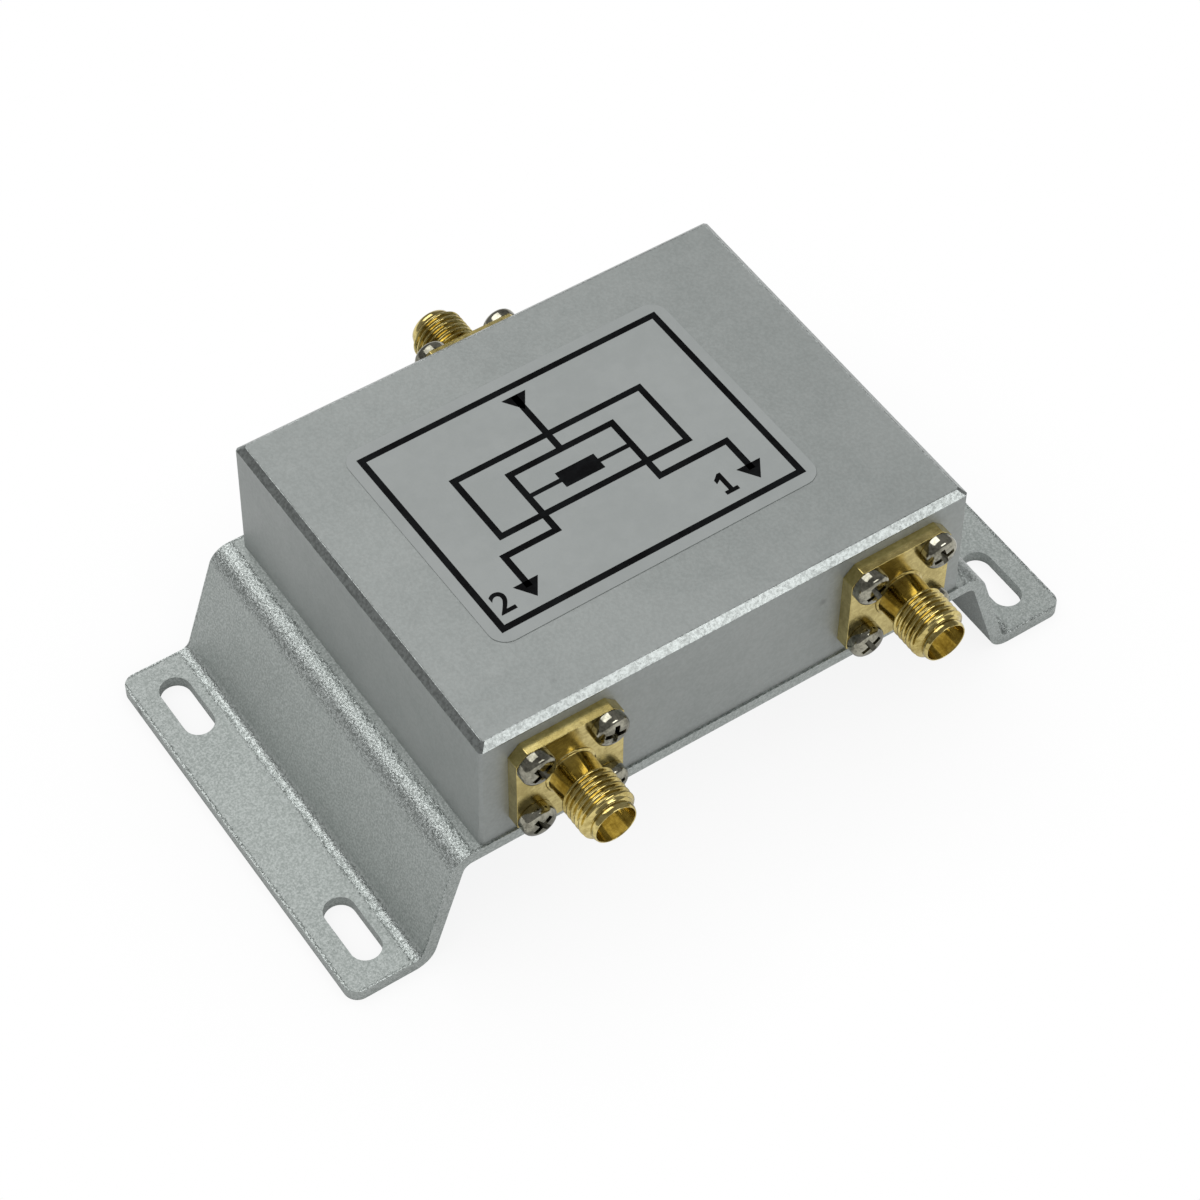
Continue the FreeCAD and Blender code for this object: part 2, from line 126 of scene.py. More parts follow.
class NodeBench:
    """Adds and links nodes in one tree."""

    def __init__(self, tree: NodeTree) -> None:
        """Start on a tree."""
        self.tree = tree

    def feed(self, socket: NodeSocket, value: Value) -> None:
        """Give a socket its value.

        Args:
            socket: the input.
            value: the socket to link in, or a constant.
        """
        if isinstance(value, NodeSocket):
            self.tree.links.new(value, socket)
        else:
            socket.default_value = value

    def fill(self, node: Node, **inputs: Value) -> Node:
        """Give a node its inputs.

        Args:
            node: the node.
            inputs: values by socket name, with _ for a space.

        Returns:
            The same node.
        """
        for key, value in inputs.items():
            self.feed(node.inputs[key.replace("_", " ")], value)
        return node

    def add(self, kind: str, settings: dict | None = None, **inputs: Value) -> Node:
        """Add one node.

        Args:
            kind: the node's type name.
            settings: properties of the node itself.
            inputs: values by socket name, with _ for a space.

        Returns:
            The new node.
        """
        node = self.tree.nodes.new(kind)
        for key, value in (settings or {}).items():
            setattr(node, key, value)
        return self.fill(node, **inputs)

    def get(self, kind: str, settings: dict | None = None, **inputs: Value) -> NodeSocket:
        """First output of a new node; see add."""
        return self.add(kind, settings, **inputs).outputs[0]

    def row(self, kind: str, settings: dict, *values: Value) -> NodeSocket:
        """First output of a new node whose inputs are given in their order.

        Args:
            kind: the node's type name.
            settings: properties of the node itself.
            values: the inputs.

        Returns:
            The output's socket.
        """
        node = self.add(kind, settings)
        for socket, value in zip(node.inputs, values):
            self.feed(socket, value)
        return node.outputs[0]

    def math(self, operation: str, *values: Value, clamp: bool = False) -> NodeSocket:
        """Result of a Math node, held between 0 and 1 if clamped."""
        return self.row("ShaderNodeMath", {"operation": operation, "use_clamp": clamp}, *values)

    def spread(self, value: Value, *limits: float) -> NodeSocket:
        """Map a range smoothly onto another, held at its ends.

        Args:
            value: the value.
            limits: low and high, then what each becomes, which is 0 and 1 if left out.

        Returns:
            The mapped value's socket.
        """
        limits = limits if limits[2:] else (*limits, 0.0, 1.0)
        return self.row("ShaderNodeMapRange", {"interpolation_type": "SMOOTHSTEP"}, value, *limits)

    def blend(self, amount: Value, first: Value, second: Value) -> NodeSocket:
        """Mix two colours.

        Args:
            amount: share of the second one.
            first: the colour under it.
            second: the colour over it.

        Returns:
            The mixed colour's socket.
        """
        node = self.add("ShaderNodeMix", {"data_type": "RGBA"}, Factor=amount)
        for kind, color in (("A_Color", first), ("B_Color", second)):
            self.feed(next(socket for socket in node.inputs if socket.identifier == kind), color)
        return next(socket for socket in node.outputs if socket.identifier == "Result_Color")

    def weigh(self, first: NodeSocket, share: float, second: NodeSocket) -> NodeSocket:
        """Add two values, the first by its share and the second by the rest."""
        rest = self.math("MULTIPLY", second, 1.0 - share)
        return self.math("ADD", self.math("MULTIPLY", first, share), rest)

    def noise(self, vector: Value, scale: Value, detail: float = 2.0, roughness: float = 0.5) -> NodeSocket:
        """Value of a noise texture."""
        return self.get("ShaderNodeTexNoise", Vector=vector, Scale=scale, Detail=detail, Roughness=roughness)

    def split(self, vector: NodeSocket) -> Sequence[NodeSocket]:
        """X, Y and Z of a vector."""
        return self.add("ShaderNodeSeparateXYZ", Vector=vector).outputs

    def bump(self, height: NodeSocket, strength: float, distance: float) -> NodeSocket:
        """Normal of a surface with a fine relief."""
        return self.get("ShaderNodeBump", Height=height, Strength=strength, Distance=distance)

    def group(self, drawn: Callable[[], NodeTree], **inputs: Value) -> Sockets:
        """Outputs of a shader node group with its own values."""
        return self.add("ShaderNodeGroup", {"node_tree": drawn()}, **inputs).outputs


FLOAT, VECTOR, COLOR = "NodeSocketFloat", "NodeSocketVector", "NodeSocketColor"
SOCKET_KINDS = {"Vector": VECTOR, "Dark": COLOR, "Light": COLOR, "Color": COLOR}
Drawing = Callable[[NodeBench, Sockets], dict[str, NodeSocket]]


def shader_group(inputs: str, outputs: str) -> Callable[[Drawing], Callable[[], NodeTree]]:
    """Decorator that draws a shader node group once, when it is first asked for.

    The decorated function adds the nodes. It takes the bench and the group's inputs by name, and
    returns its outputs by name.

    Args:
        inputs: names of the inputs; SOCKET_KINDS has the types of those that aren't numbers.
        outputs: names of the outputs.

    Returns:
        The decorator.
    """

    def wrap(draw: Drawing) -> Callable[[], NodeTree]:
        """Stand in for the drawing function.

        Args:
            draw: the function.

        Returns:
            A function that gives the group.
        """

        @cache
        def drawn() -> NodeTree:
            """The finished group.

            Returns:
                The group's tree.
            """
            tree = bpy.data.node_groups.new(draw.__name__, "ShaderNodeTree")
            for names, side in ((inputs, "INPUT"), (outputs, "OUTPUT")):
                for name in names.split():
                    tree.interface.new_socket(name, in_out=side, socket_type=SOCKET_KINDS.get(name, FLOAT))
            bench = NodeBench(tree)
            source, sink = bench.add("NodeGroupInput"), bench.add("NodeGroupOutput")
            bench.fill(sink, **draw(bench, source.outputs))
            return tree

        return drawn

    return wrap


@shader_group("Vector Scale", "Height Grain")
def blasted_grain(bench: NodeBench, given: Sockets) -> dict[str, NodeSocket]:
    """Pitted surface left by blasting: fine pits over a coarser pebble.

    Args:
        bench: where to add the nodes.
        given: the group's inputs.

    Returns:
        Its outputs.
    """
    fine = bench.noise(given["Vector"], given["Scale"], 3.0, 0.62)
    pebble_size = bench.math("MULTIPLY", given["Scale"], 0.37)
    coarse = bench.noise(given["Vector"], pebble_size, 1.0)
    return {"Height": bench.weigh(fine, 0.6, coarse), "Grain": bench.spread(fine, 0.36, 0.66)}


@shader_group("Vector Scale Dark Light", "Color")
def cloudy_tone(bench: NodeBench, given: Sockets) -> dict[str, NodeSocket]:
    """Slow drift of tone over a surface, in two sizes of cloud.

    Args:
        bench: where to add the nodes.
        given: the group's inputs.

    Returns:
        Its outputs.
    """
    wide = bench.noise(given["Vector"], given["Scale"], 3.0, 0.6)
    small_size = bench.math("MULTIPLY", given["Scale"], 7.0)
    small = bench.noise(given["Vector"], small_size, 2.0, 0.7)
    tone = bench.spread(bench.weigh(wide, 0.65, small), 0.36, 0.64)
    return {"Color": bench.blend(tone, given["Dark"], given["Light"])}


@shader_group("Vector Distance Width Ragged", "Mask")
def ragged_band(bench: NodeBench, given: Sockets) -> dict[str, NodeSocket]:
    """Mask that is 1 where the distance is under the width, with a torn border.

    Args:
        bench: where to add the nodes.
        given: the group's inputs.

    Returns:
        Its outputs.
    """
    tear_scale, tenths_of_mm = 2600.0, 10000.0
    tear = bench.math("SUBTRACT", bench.noise(given["Vector"], tear_scale, 4.0, 0.75), 0.5)
    torn = bench.math("ADD", given["Distance"], bench.math("MULTIPLY", tear, given["Ragged"]))
    depth = bench.math("SUBTRACT", given["Width"], torn)
    return {"Mask": bench.spread(bench.math("MULTIPLY", depth, tenths_of_mm), -0.6, 0.6)}


@shader_group("Vector Scale", "Height")
def drag_lines(bench: NodeBench, given: Sockets) -> dict[str, NodeSocket]:
    """Fine parallel marks of a cutting tool, stretched along X."""
    stretched = bench.get("ShaderNodeMapping", Vector=given["Vector"], Scale=(0.04, 1.0, 1.0))
    return {"Height": bench.noise(stretched, given["Scale"], 2.0, 0.6)}


@shader_group("Vector Scale Amount", "Mask")
def stray_specks(bench: NodeBench, given: Sockets) -> dict[str, NodeSocket]:
    """Few small marks and nicks, strewn at random.

    Args:
        bench: where to add the nodes.
        given: the group's inputs.

    Returns:
        Its outputs.
    """
    feature = {"feature": "F1"}
    cells = bench.add("ShaderNodeTexVoronoi", feature, Vector=given["Vector"], Scale=given["Scale"]).outputs
    chance = bench.get("ShaderNodeSeparateColor", Color=cells["Color"])
    chosen = bench.math("LESS_THAN", chance, given["Amount"])
    near = bench.spread(cells["Distance"], 0.06, 0.22, 1.0, 0.0)
    return {"Mask": bench.math("MULTIPLY", chosen, near)}


# Finishes


def new_material(name: str) -> tuple[Material, NodeBench, Node]:
    """Start a material on a Principled BSDF.

    Args:
        name: the material's name.

    Returns:
        The material, a bench on its tree and its shader node.
    """
    material = bpy.data.materials.new(name)
    material.use_nodes = True
    return material, NodeBench(material.node_tree), material.node_tree.nodes["Principled BSDF"]


def grey(level: float) -> Color:
    """Neutral colour of one level."""
    return (level, level, level, 1.0)


@dataclass(frozen=True)
class Finish:
    """What all finishes share: two tones that drift into each other in clouds."""

    name: str
    dark: Color
    light: Color

    def tone(self, bench: NodeBench, place: NodeSocket, scale: float) -> NodeSocket:
        """Colour of the clouds."""
        return bench.group(cloudy_tone, Vector=place, Scale=scale, Dark=self.dark, Light=self.light)["Color"]

    def paint(self, bench: NodeBench, place: NodeSocket) -> dict[str, Value]:
        """Values for the shader's sockets by name, drawn over the Object coordinates."""
        raise NotImplementedError

    def material(self) -> Material:
        """Make the material.

        Returns:
            The material.
        """
        material, bench, shader = new_material(self.name)
        bench.fill(shader, **self.paint(bench, bench.add("ShaderNodeTexCoord").outputs["Object"]))
        return material


@dataclass(frozen=True)
class BlastedAluminium(Finish):
    """Blasted aluminium with a fine grain, faint clouds of tone and coarse worn bands.

    Bands builds the mask of the worn bands. In them the lighter flecks are partly worn metal and partly
    painted highlight, and the dark pits are painted shade. Each pair is the value elsewhere and in a band.
    """

    bands: Callable[[NodeBench, NodeSocket], NodeSocket]
    roughness: Pair
    metallic: Pair
    grain_depth: Pair
    mottle: float
    glint_share: float
    shade_pit_share: float
    # Lighter flecks in the bands: partly worn metal, partly painted highlight
    wear_and_glint: Color = (0.56, 0.60, 0.59, 1.0)
    crest: Color = (0.62, 0.66, 0.65, 1.0)
    # Dark pits in the bands are painted shade; the stray nicks are real marks
    pit_and_shade: Color = (0.10, 0.105, 0.105, 1.0)
    cloud_scale: float = 60.0
    grain_scale: float = 2700.0
    speck_scale: float = 260.0
    speck_amount: float = 0.02
    speck_strength: float = 0.6
    peaks: Pair = (0.45, 0.85)
    pits: Pair = (0.0, 0.35)
    relief: float = 0.00022

    def paint(self, bench: NodeBench, place: NodeSocket) -> dict[str, Value]:
        """Grain and clouds everywhere; painted highlight flecks and painted shade pits in the bands.

        Args:
            bench: where to add the nodes.
            place: the Object coordinates.

        Returns:
            Values for the shader's sockets.
        """
        grain = bench.group(blasted_grain, Vector=place, Scale=self.grain_scale)
        specks = bench.group(stray_specks, Vector=place, Scale=self.speck_scale, Amount=self.speck_amount)
        wear_and_glint_mask = self.bands(bench, place)
        high = bench.spread(grain["Grain"], *self.peaks, 0.0, self.glint_share)
        deep = bench.spread(grain["Grain"], *self.pits, self.shade_pit_share, 0.0)
        color = self.tone(bench, place, self.cloud_scale)
        # In the bands, the lighter flecks paint highlights and the dark pits paint shade
        for mask, amount, over in (
            (grain["Grain"], self.mottle, self.crest),
            (wear_and_glint_mask, high, self.wear_and_glint),
            (wear_and_glint_mask, deep, self.pit_and_shade),
            (specks["Mask"], self.speck_strength, self.pit_and_shade),
        ):
            color = bench.blend(bench.math("MULTIPLY", mask, amount), color, over)
        height = bench.math("MULTIPLY", grain["Height"], bench.spread(wear_and_glint_mask, 0.0, 1.0, *self.grain_depth))
        return {
            "Base_Color": color,
            "Metallic": bench.spread(wear_and_glint_mask, 0.0, 1.0, *self.metallic),
            "Roughness": bench.spread(wear_and_glint_mask, 0.0, 1.0, *self.roughness),
            "Normal": bench.bump(height, 1.0, self.relief),
        }


@dataclass(frozen=True)
class GoldPlate(Finish):
    """Gold plating over machined brass."""

    gleam: Gleam
    cloud_scale: float = 300.0
    streak_scale: float = 2600.0
    line_scale: float = 9000.0
    streaks: Box = (0.35, 0.6, 0.35, 0.0)
    wear_scale: float = 900.0
    wear: Pair = (0.8, 1.25)
    relief: float = 0.00002

    def paint(self, bench: NodeBench, place: NodeSocket) -> dict[str, Value]:
        """Darker streaks and fine drag lines.

        Args:
            bench: where to add the nodes.
            place: the Object coordinates.

        Returns:
            Values for the shader's sockets.
        """
        roughness, marks = self.gleam.value
        lines = bench.group(drag_lines, Vector=place, Scale=self.line_scale)
        wide_lines = bench.group(drag_lines, Vector=place, Scale=self.streak_scale)
        streak = bench.spread(wide_lines["Height"], *self.streaks)
        wear = bench.noise(place, self.wear_scale, 3.0, 0.65)
        return {
            "Base_Color": bench.blend(streak, self.tone(bench, place, self.cloud_scale), self.dark),
            "Metallic": 1.0,
            "Roughness": bench.spread(wear, 0.3, 0.7, *(roughness * share for share in self.wear)),
            "Normal": bench.bump(lines["Height"], marks, self.relief),
        }


@dataclass(frozen=True)
class BrightNickel(Finish):
    """Nickel plating on steel screws, with fine handling marks."""

    roughness: float = 0.10
    cloud_scale: float = 420.0
    speck_scale: float = 1800.0
    speck_amount: float = 0.10
    speck_strength: float = 0.5
    speck_level: float = 0.06
    wear_scale: float = 1500.0
    wear: Pair = (0.7, 1.6)
    grain_scale: float = 2400.0
    grain_depth: float = 0.12
    relief: float = 0.00003

    def paint(self, bench: NodeBench, place: NodeSocket) -> dict[str, Value]:
        """Dull specks on a bright ground.

        Args:
            bench: where to add the nodes.
            place: the Object coordinates.

        Returns:
            Values for the shader's sockets.
        """
        specks = bench.group(stray_specks, Vector=place, Scale=self.speck_scale, Amount=self.speck_amount)
        dulled = bench.math("MULTIPLY", specks["Mask"], self.speck_strength)
        tone = self.tone(bench, place, self.cloud_scale)
        wear = bench.noise(place, self.wear_scale, 3.0, 0.7)
        return {
            "Base_Color": bench.blend(dulled, tone, grey(self.speck_level)),
            "Metallic": 1.0,
            "Roughness": bench.spread(wear, 0.3, 0.75, *(self.roughness * share for share in self.wear)),
            "Normal": bench.bump(bench.noise(place, self.grain_scale), self.grain_depth, self.relief),
        }


@dataclass(frozen=True)
class PlainStock(Finish):
    """Stock with a soft grain: label film, print ink, laminate, fluoropolymer, foil, chip glaze."""

    roughness: float
    cloud_scale: float
    grain_scale: float = 5000.0
    grain_depth: float = 0.05
    metallic: float = 0.0
    specular: float = 0.5
    wear: Pair = (0.85, 1.15)
    relief: float = 0.00008

    def paint(self, bench: NodeBench, place: NodeSocket) -> dict[str, Value]:
        """Clouds of tone and a soft grain.

        Args:
            bench: where to add the nodes.
            place: the Object coordinates.

        Returns:
            Values for the shader's sockets.
        """
        grain = bench.group(blasted_grain, Vector=place, Scale=self.grain_scale)
        limits = [self.roughness * share for share in self.wear]
        return {
            "Base_Color": self.tone(bench, place, self.cloud_scale),
            "Metallic": self.metallic,
            "Specular_IOR_Level": self.specular,
            "Roughness": bench.spread(grain["Grain"], 0.0, 1.0, *limits),
            "Normal": bench.bump(grain["Height"], self.grain_depth, self.relief),
        }


# Mesh helpers


def link(name: str, data: bpy.types.ID) -> Object:
    """Put data into the scene as an object at the origin.

    Args:
        name: the object's name.
        data: its mesh, curve, camera or light.

    Returns:
        The object.
    """
    piece = bpy.data.objects.new(name, data)
    bpy.context.scene.collection.objects.link(piece)
    return piece


def evaluated(piece: Object) -> Mesh:
    """New plain mesh of an object as its modifiers leave it."""
    return bpy.data.meshes.new_from_object(piece.evaluated_get(bpy.context.evaluated_depsgraph_get()))


def opened(*meshes: Mesh) -> BMesh:
    """One bmesh with the contents of several meshes.

    Args:
        meshes: the meshes, which stay.

    Returns:
        A new bmesh.
    """
    work = bmesh.new()
    for mesh in meshes:
        work.from_mesh(mesh)
    return work


def closed_up(work: BMesh, mesh: Mesh | str, merge: float = 0.0, flatten: bool = False) -> Mesh:
    """Write a bmesh out with every face turned outwards.

    Args:
        work: the bmesh, which is used up.
        mesh: the mesh to write to, or the name of a new one.
        merge: distance in metres under which points merge; 0 merges none.
        flatten: True to join the faces that lie in one plane.

    Returns:
        The mesh.
    """
    if merge:
        bmesh.ops.remove_doubles(work, verts=work.verts, dist=merge)
    if flatten:
        bmesh.ops.dissolve_limit(work, angle_limit=SAME_PLANE, verts=work.verts, edges=work.edges)
    bmesh.ops.recalc_face_normals(work, faces=work.faces)
    mesh = bpy.data.meshes.new(mesh) if isinstance(mesh, str) else mesh
    work.to_mesh(mesh)
    work.free()
    return mesh


def smooth_by_angle(mesh: Mesh, degrees: float) -> None:
    """Smooth shading everywhere but at edges sharper than the angle."""
    mesh.polygons.foreach_set("use_smooth", [True] * len(mesh.polygons))
    mesh.set_sharp_from_angle(angle=math.radians(degrees))


def apply_all(piece: Object) -> None:
    """Turn a piece with modifiers into a plain mesh.

    Args:
        piece: the object, whose old mesh goes.
    """
    mesh, old = evaluated(piece), piece.data
    piece.modifiers.clear()
    piece.data = mesh
    bpy.data.meshes.remove(old)


def soften(piece: Object, width: float, segments: int, degrees: float = 40.0) -> None:
    """Break the sharp edges of a piece, and keep its flat faces flat beside them.

    Args:
        piece: the object to work on.
        width: width of the broken edge, in mm.
        segments: how many strips round the edge.
        degrees: angle from which an edge is sharp.
    """
    bevel = piece.modifiers.new("soften", "BEVEL")
    bevel.width, bevel.segments = width * MM, segments
    bevel.limit_method, bevel.angle_limit = "ANGLE", math.radians(degrees)
    bevel.miter_outer = "MITER_ARC"
    apply_all(piece)
    smooth_by_angle(piece.data, degrees)
    piece.modifiers.new("weigh", "WEIGHTED_NORMAL").keep_sharp = True
    apply_all(piece)


def finished(piece: Object, material: Material, slot: str, *nodes: str) -> None:
    """Dress a piece and hand it to the frame.

    Args:
        piece: the object.
        material: its only material.
        slot: the record's slot that it stands for; not used.
        nodes: the CAD nodes that it replaces.
    """
    piece.data.materials.clear()
    piece.data.materials.append(material)
    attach(piece, BODY)
    if nodes:
        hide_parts(*nodes)
    LOG.info("%s: %d faces", piece.name, len(piece.data.polygons))


def merged_copy(node: str, name: str) -> Object:
    """Copy of a CAD node's mesh as a new piece, merged and with its flat faces joined."""
    return link(name, closed_up(opened(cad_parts[node].data), name, SAME_POINT, flatten=True))


def ring(radius: float, sides: int, x: float = 0.0, y: float = 0.0) -> list[Pair]:
    """Points of a circle, in mm."""
    angles = [FULL_TURN * side / sides for side in range(sides)]
    return [(x + radius * math.cos(angle), y + radius * math.sin(angle)) for angle in angles]


def lathed(name: str, rows: Sequence[Pair], sides: int, closed: bool = False) -> Mesh:
    """Turned shape: rings about Z, where a ring of radius 0 becomes one point.

    Args:
        name: the mesh's name.
        rows: the profile, as (radius, height) pairs in mm.
        sides: points in a ring.
        closed: True to join the last ring to the first.

    Returns:
        The mesh.
    """
    points = [mm(x, y, height) for radius, height in rows for x, y in ring(radius, sides)]
    faces = []
    for row in range(len(rows) if closed else len(rows) - 1):
        here, above = row * sides, (row + 1) % len(rows) * sides
        for side in range(sides):
            after = (side + 1) % sides
            faces.append([here + side, here + after, above + after, above + side])
    mesh = bpy.data.meshes.new(name)
    mesh.from_pydata(points, [], faces)
    work = opened(mesh)
    bmesh.ops.remove_doubles(work, verts=work.verts, dist=SAME_RING_POINT)
    bmesh.ops.dissolve_degenerate(work, dist=NO_LENGTH, edges=work.edges)
    return closed_up(work, mesh)


def raised(work: BMesh, faces: Sequence[BMFace], height: float, name: str) -> Mesh:
    """Closed mesh between flat faces and their copy higher up.

    Args:
        work: the bmesh with the faces, which is used up.
        faces: the flat faces, on Z = 0.
        height: distance of the copy, in mm.
        name: the mesh's name.

    Returns:
        The mesh.
    """
    pulled = bmesh.ops.extrude_face_region(work, geom=faces)["geom"]
    tops = [item for item in pulled if isinstance(item, BMVert)]
    bmesh.ops.translate(work, vec=mm(0, 0, height), verts=tops)
    return closed_up(work, name, flatten=True)


def plate(name: str, loops: Sequence[Sequence[Pair]], height: float) -> Mesh:
    """Flat plate with straight walls, standing on Z = 0.

    Args:
        name: the mesh's name.
        loops: outline and hole outlines, as (x, y) points in mm.
        height: its thickness, in mm.

    Returns:
        A closed mesh.
    """
    work = bmesh.new()
    for loop in loops:
        corners = [work.verts.new(mm(x, y, 0)) for x, y in loop]
        for ends in zip(corners, corners[1:] + corners[:1]):
            work.edges.new(ends)
    filled = bmesh.ops.triangle_fill(work, use_beauty=True, use_dissolve=False, edges=work.edges)["geom"]
    return raised(work, [item for item in filled if isinstance(item, BMFace)], height, name)


def printed(name: str, boxes: Sequence[Box], height: float) -> Mesh:
    """Flat print made of straight-sided boxes, with nothing doubled where they overlap.

    Args:
        name: the mesh's name.
        boxes: (low x, low y, high x, high y) of each box, in mm.
        height: thickness of the print, in mm.

    Returns:
        A closed mesh that stands on Z = 0.
    """
    columns, rows = (
        sorted({round(box[place], 4) for box in boxes for place in (axis, axis + 2)}) for axis in (0, 1)
    )
    work = bmesh.new()
    corners: dict[Pair, BMVert] = {}
    for left, right in zip(columns, columns[1:]):
        for low, high in zip(rows, rows[1:]):
            x, y = (left + right) / 2, (low + high) / 2
            if any(box[0] < x < box[2] and box[1] < y < box[3] for box in boxes):
                loop = []
                for spot in ((left, low), (right, low), (right, high), (left, high)):
                    if spot not in corners:
                        corners[spot] = work.verts.new(mm(*spot, 0))
                    loop.append(corners[spot])
                work.faces.new(loop)
    return raised(work, work.faces[:], height, name)


def joined(name: str, *parts: Mesh) -> Object:
    """One object from several meshes, which are used up.

    Args:
        name: the object's name.
        parts: the meshes.

    Returns:
        The object.
    """
    mesh, work = bpy.data.meshes.new(name), opened(*parts)
    work.to_mesh(mesh)
    work.free()
    for part in parts:
        bpy.data.meshes.remove(part)
    return link(name, mesh)


def cut_out(piece: Object, other: Mesh) -> None:
    """Cut a closed mesh, which is used up, out of a piece.

    Args:
        piece: the object that changes.
        other: the mesh.
    """
    tool = link("tool", other)
    change = piece.modifiers.new("change", "BOOLEAN")
    change.object, change.operation, change.solver = tool, "DIFFERENCE", "EXACT"
    apply_all(piece)
    bpy.data.objects.remove(tool)
    bpy.data.meshes.remove(other)


# Shapes that follow a rule


class ShapeTree(NodeBench):
    """A Geometry Nodes tree with named inputs."""

    def __init__(self, name: str) -> None:
        """Start a tree that puts out geometry.

        Args:
            name: the tree's name.
        """
        super().__init__(bpy.data.node_groups.new(name, "GeometryNodeTree"))
        self.tree.interface.new_socket("Geometry", in_out="OUTPUT", socket_type="NodeSocketGeometry")
        self.tree.interface.new_socket("Material", in_out="INPUT", socket_type="NodeSocketMaterial")
        self.source = self.add("NodeGroupInput")
        self.sink = self.add("NodeGroupOutput")

    def sizes(self, kind: str, *names: str) -> list[NodeSocket]:
        """Add named inputs of one kind.

        Args:
            kind: the type of the sockets.
            names: their names.

        Returns:
            Their values.
        """
        for name in names:
            self.tree.interface.new_socket(name, in_out="INPUT", socket_type=kind)
        return [self.source.outputs[name] for name in names]

    def finish(self, shape: NodeSocket) -> None:
        """End the tree in Realize Instances and Set Material.

        Args:
            shape: the geometry.
        """
        real = self.get("GeometryNodeRealizeInstances", Geometry=shape)
        material = self.source.outputs["Material"]
        self.fill(self.sink, Geometry=self.get("GeometryNodeSetMaterial", Geometry=real, Material=material))

    def repeat(self, part: NodeSocket, mesh: NodeSocket, rotation: NodeSocket) -> None:
        """Finish the tree with an object repeated at the points of a mesh.

        Args:
            part: the object.
            mesh: the mesh.
            rotation: turn of each copy.
        """
        points = self.get("GeometryNodeMeshToPoints", Mesh=mesh)
        shape = self.add("GeometryNodeObjectInfo", Object=part).outputs["Geometry"]
        copies = self.add("GeometryNodeInstanceOnPoints", Points=points, Instance=shape, Rotation=rotation)
        self.finish(copies.outputs[0])

    def grown(self, name: str, **values: object) -> Mesh:
        """Run the tree once.

        Args:
            name: name of the mesh.
            values: input values by name, with _ for a space.

        Returns:
            The result as a plain mesh.
        """
        host = link(name + "_host", bpy.data.meshes.new(name + "_host"))
        modifier = host.modifiers.new("shape", "NODES")
        modifier.node_group = self.tree
        wanted = {key.replace("_", " "): value for key, value in values.items()}
        for item in self.tree.interface.items_tree:
            if item.in_out == "INPUT" and item.name in wanted:
                modifier[item.identifier] = wanted[item.name]
        mesh = evaluated(host)
        bpy.data.objects.remove(host)
        return mesh


INTEGER, OBJECT = "NodeSocketInt", "NodeSocketObject"


def thread_tree() -> ShapeTree:
    """Band of screw thread: a grid wrapped round Z whose rows follow the helix.

    Returns:
        The tree; its band starts and ends in a plain ring of the root radius.
    """
    steepness, trough, run_out = 1.7, 0.3, 0.35
    shape = ShapeTree("thread_band")
    reckon = shape.math
    root, crest, pitch, start, length, lead, steps = shape.sizes(
        FLOAT, "Root Radius", "Crest Radius", "Pitch", "Start", "Length", "Lead", "Steps"
    )
    sides, rows = shape.sizes(INTEGER, "Sides", "Rows")
    grid = shape.get(
        "GeometryNodeMeshGrid", Size_X=1.0, Size_Y=1.0, Vertices_X=reckon("ADD", sides, 1.0), Vertices_Y=rows
    )
    across, along, _ = shape.split(shape.get("GeometryNodeInputPosition"))
    around = reckon("ADD", across, 0.5)
    row = reckon("MULTIPLY", reckon("ADD", along, 0.5), reckon("SUBTRACT", rows, 1.0))
    turns = reckon("DIVIDE", row, steps)
    climb = reckon("ADD", turns, reckon("ADD", reckon("SUBTRACT", around, 1.0), lead))
    end = reckon("ADD", start, length)
    height = reckon("MAXIMUM", reckon("MULTIPLY_ADD", climb, pitch, start), start)
    height = reckon("MINIMUM", height, end)
    flank = reckon("MULTIPLY", reckon("PINGPONG", turns, 0.5), 2.0)
    ridge = reckon("SUBTRACT", reckon("MULTIPLY", flank, steepness), trough, clamp=True)
    near = reckon("MINIMUM", reckon("SUBTRACT", height, start), reckon("SUBTRACT", end, height))
    fade = reckon("DIVIDE", near, reckon("MULTIPLY", pitch, run_out), clamp=True)
    depth = reckon("SUBTRACT", crest, root)
    radius = reckon("MULTIPLY_ADD", reckon("MULTIPLY", ridge, fade), depth, root)
    angle = reckon("MULTIPLY", around, FULL_TURN)
    x, y = (reckon("MULTIPLY", radius, reckon(wave, angle)) for wave in ("COSINE", "SINE"))
    point = shape.get("ShaderNodeCombineXYZ", X=x, Y=y, Z=height)
    shape.finish(shape.get("GeometryNodeSetPosition", Geometry=grid, Position=point))
    return shape


def fastener_tree() -> ShapeTree:
    """Four screws at the corners of a rectangle, each turned to an angle of its own.

    Returns:
        The tree.
    """
    shape = ShapeTree("fastener_set")
    (screw,) = shape.sizes(OBJECT, "Screw")
    wide, deep = shape.sizes(FLOAT, "Spread X", "Spread Y")
    (seed,) = shape.sizes(INTEGER, "Seed")
    grid = shape.get("GeometryNodeMeshGrid", Size_X=wide, Size_Y=deep, Vertices_X=2, Vertices_Y=2)
    turn = shape.add("FunctionNodeRandomValue", {"data_type": "FLOAT_VECTOR"}, Seed=seed)
    shape.feed(turn.inputs[0], (0.0, 0.0, 0.0))
    shape.feed(turn.inputs[1], (0.0, 0.0, math.pi))
    shape.repeat(screw, grid, turn.outputs[0])
    return shape


def finger_tree() -> ShapeTree:
    """Spring fingers of a socket: one finger repeated about Z.

    Returns:
        The tree.
    """
    shape = ShapeTree("finger_ring")
    (finger,) = shape.sizes(OBJECT, "Finger")
    (count,) = shape.sizes(INTEGER, "Count")
    line = shape.get("GeometryNodeMeshLine", Count=count, Offset=(0.0, 0.0, 0.0))
    step = shape.math("DIVIDE", FULL_TURN, count)
    angle = shape.math("MULTIPLY", shape.get("GeometryNodeInputIndex"), step)
    shape.repeat(finger, line, shape.get("ShaderNodeCombineXYZ", Z=angle))
    return shape


# Sub-assemblies


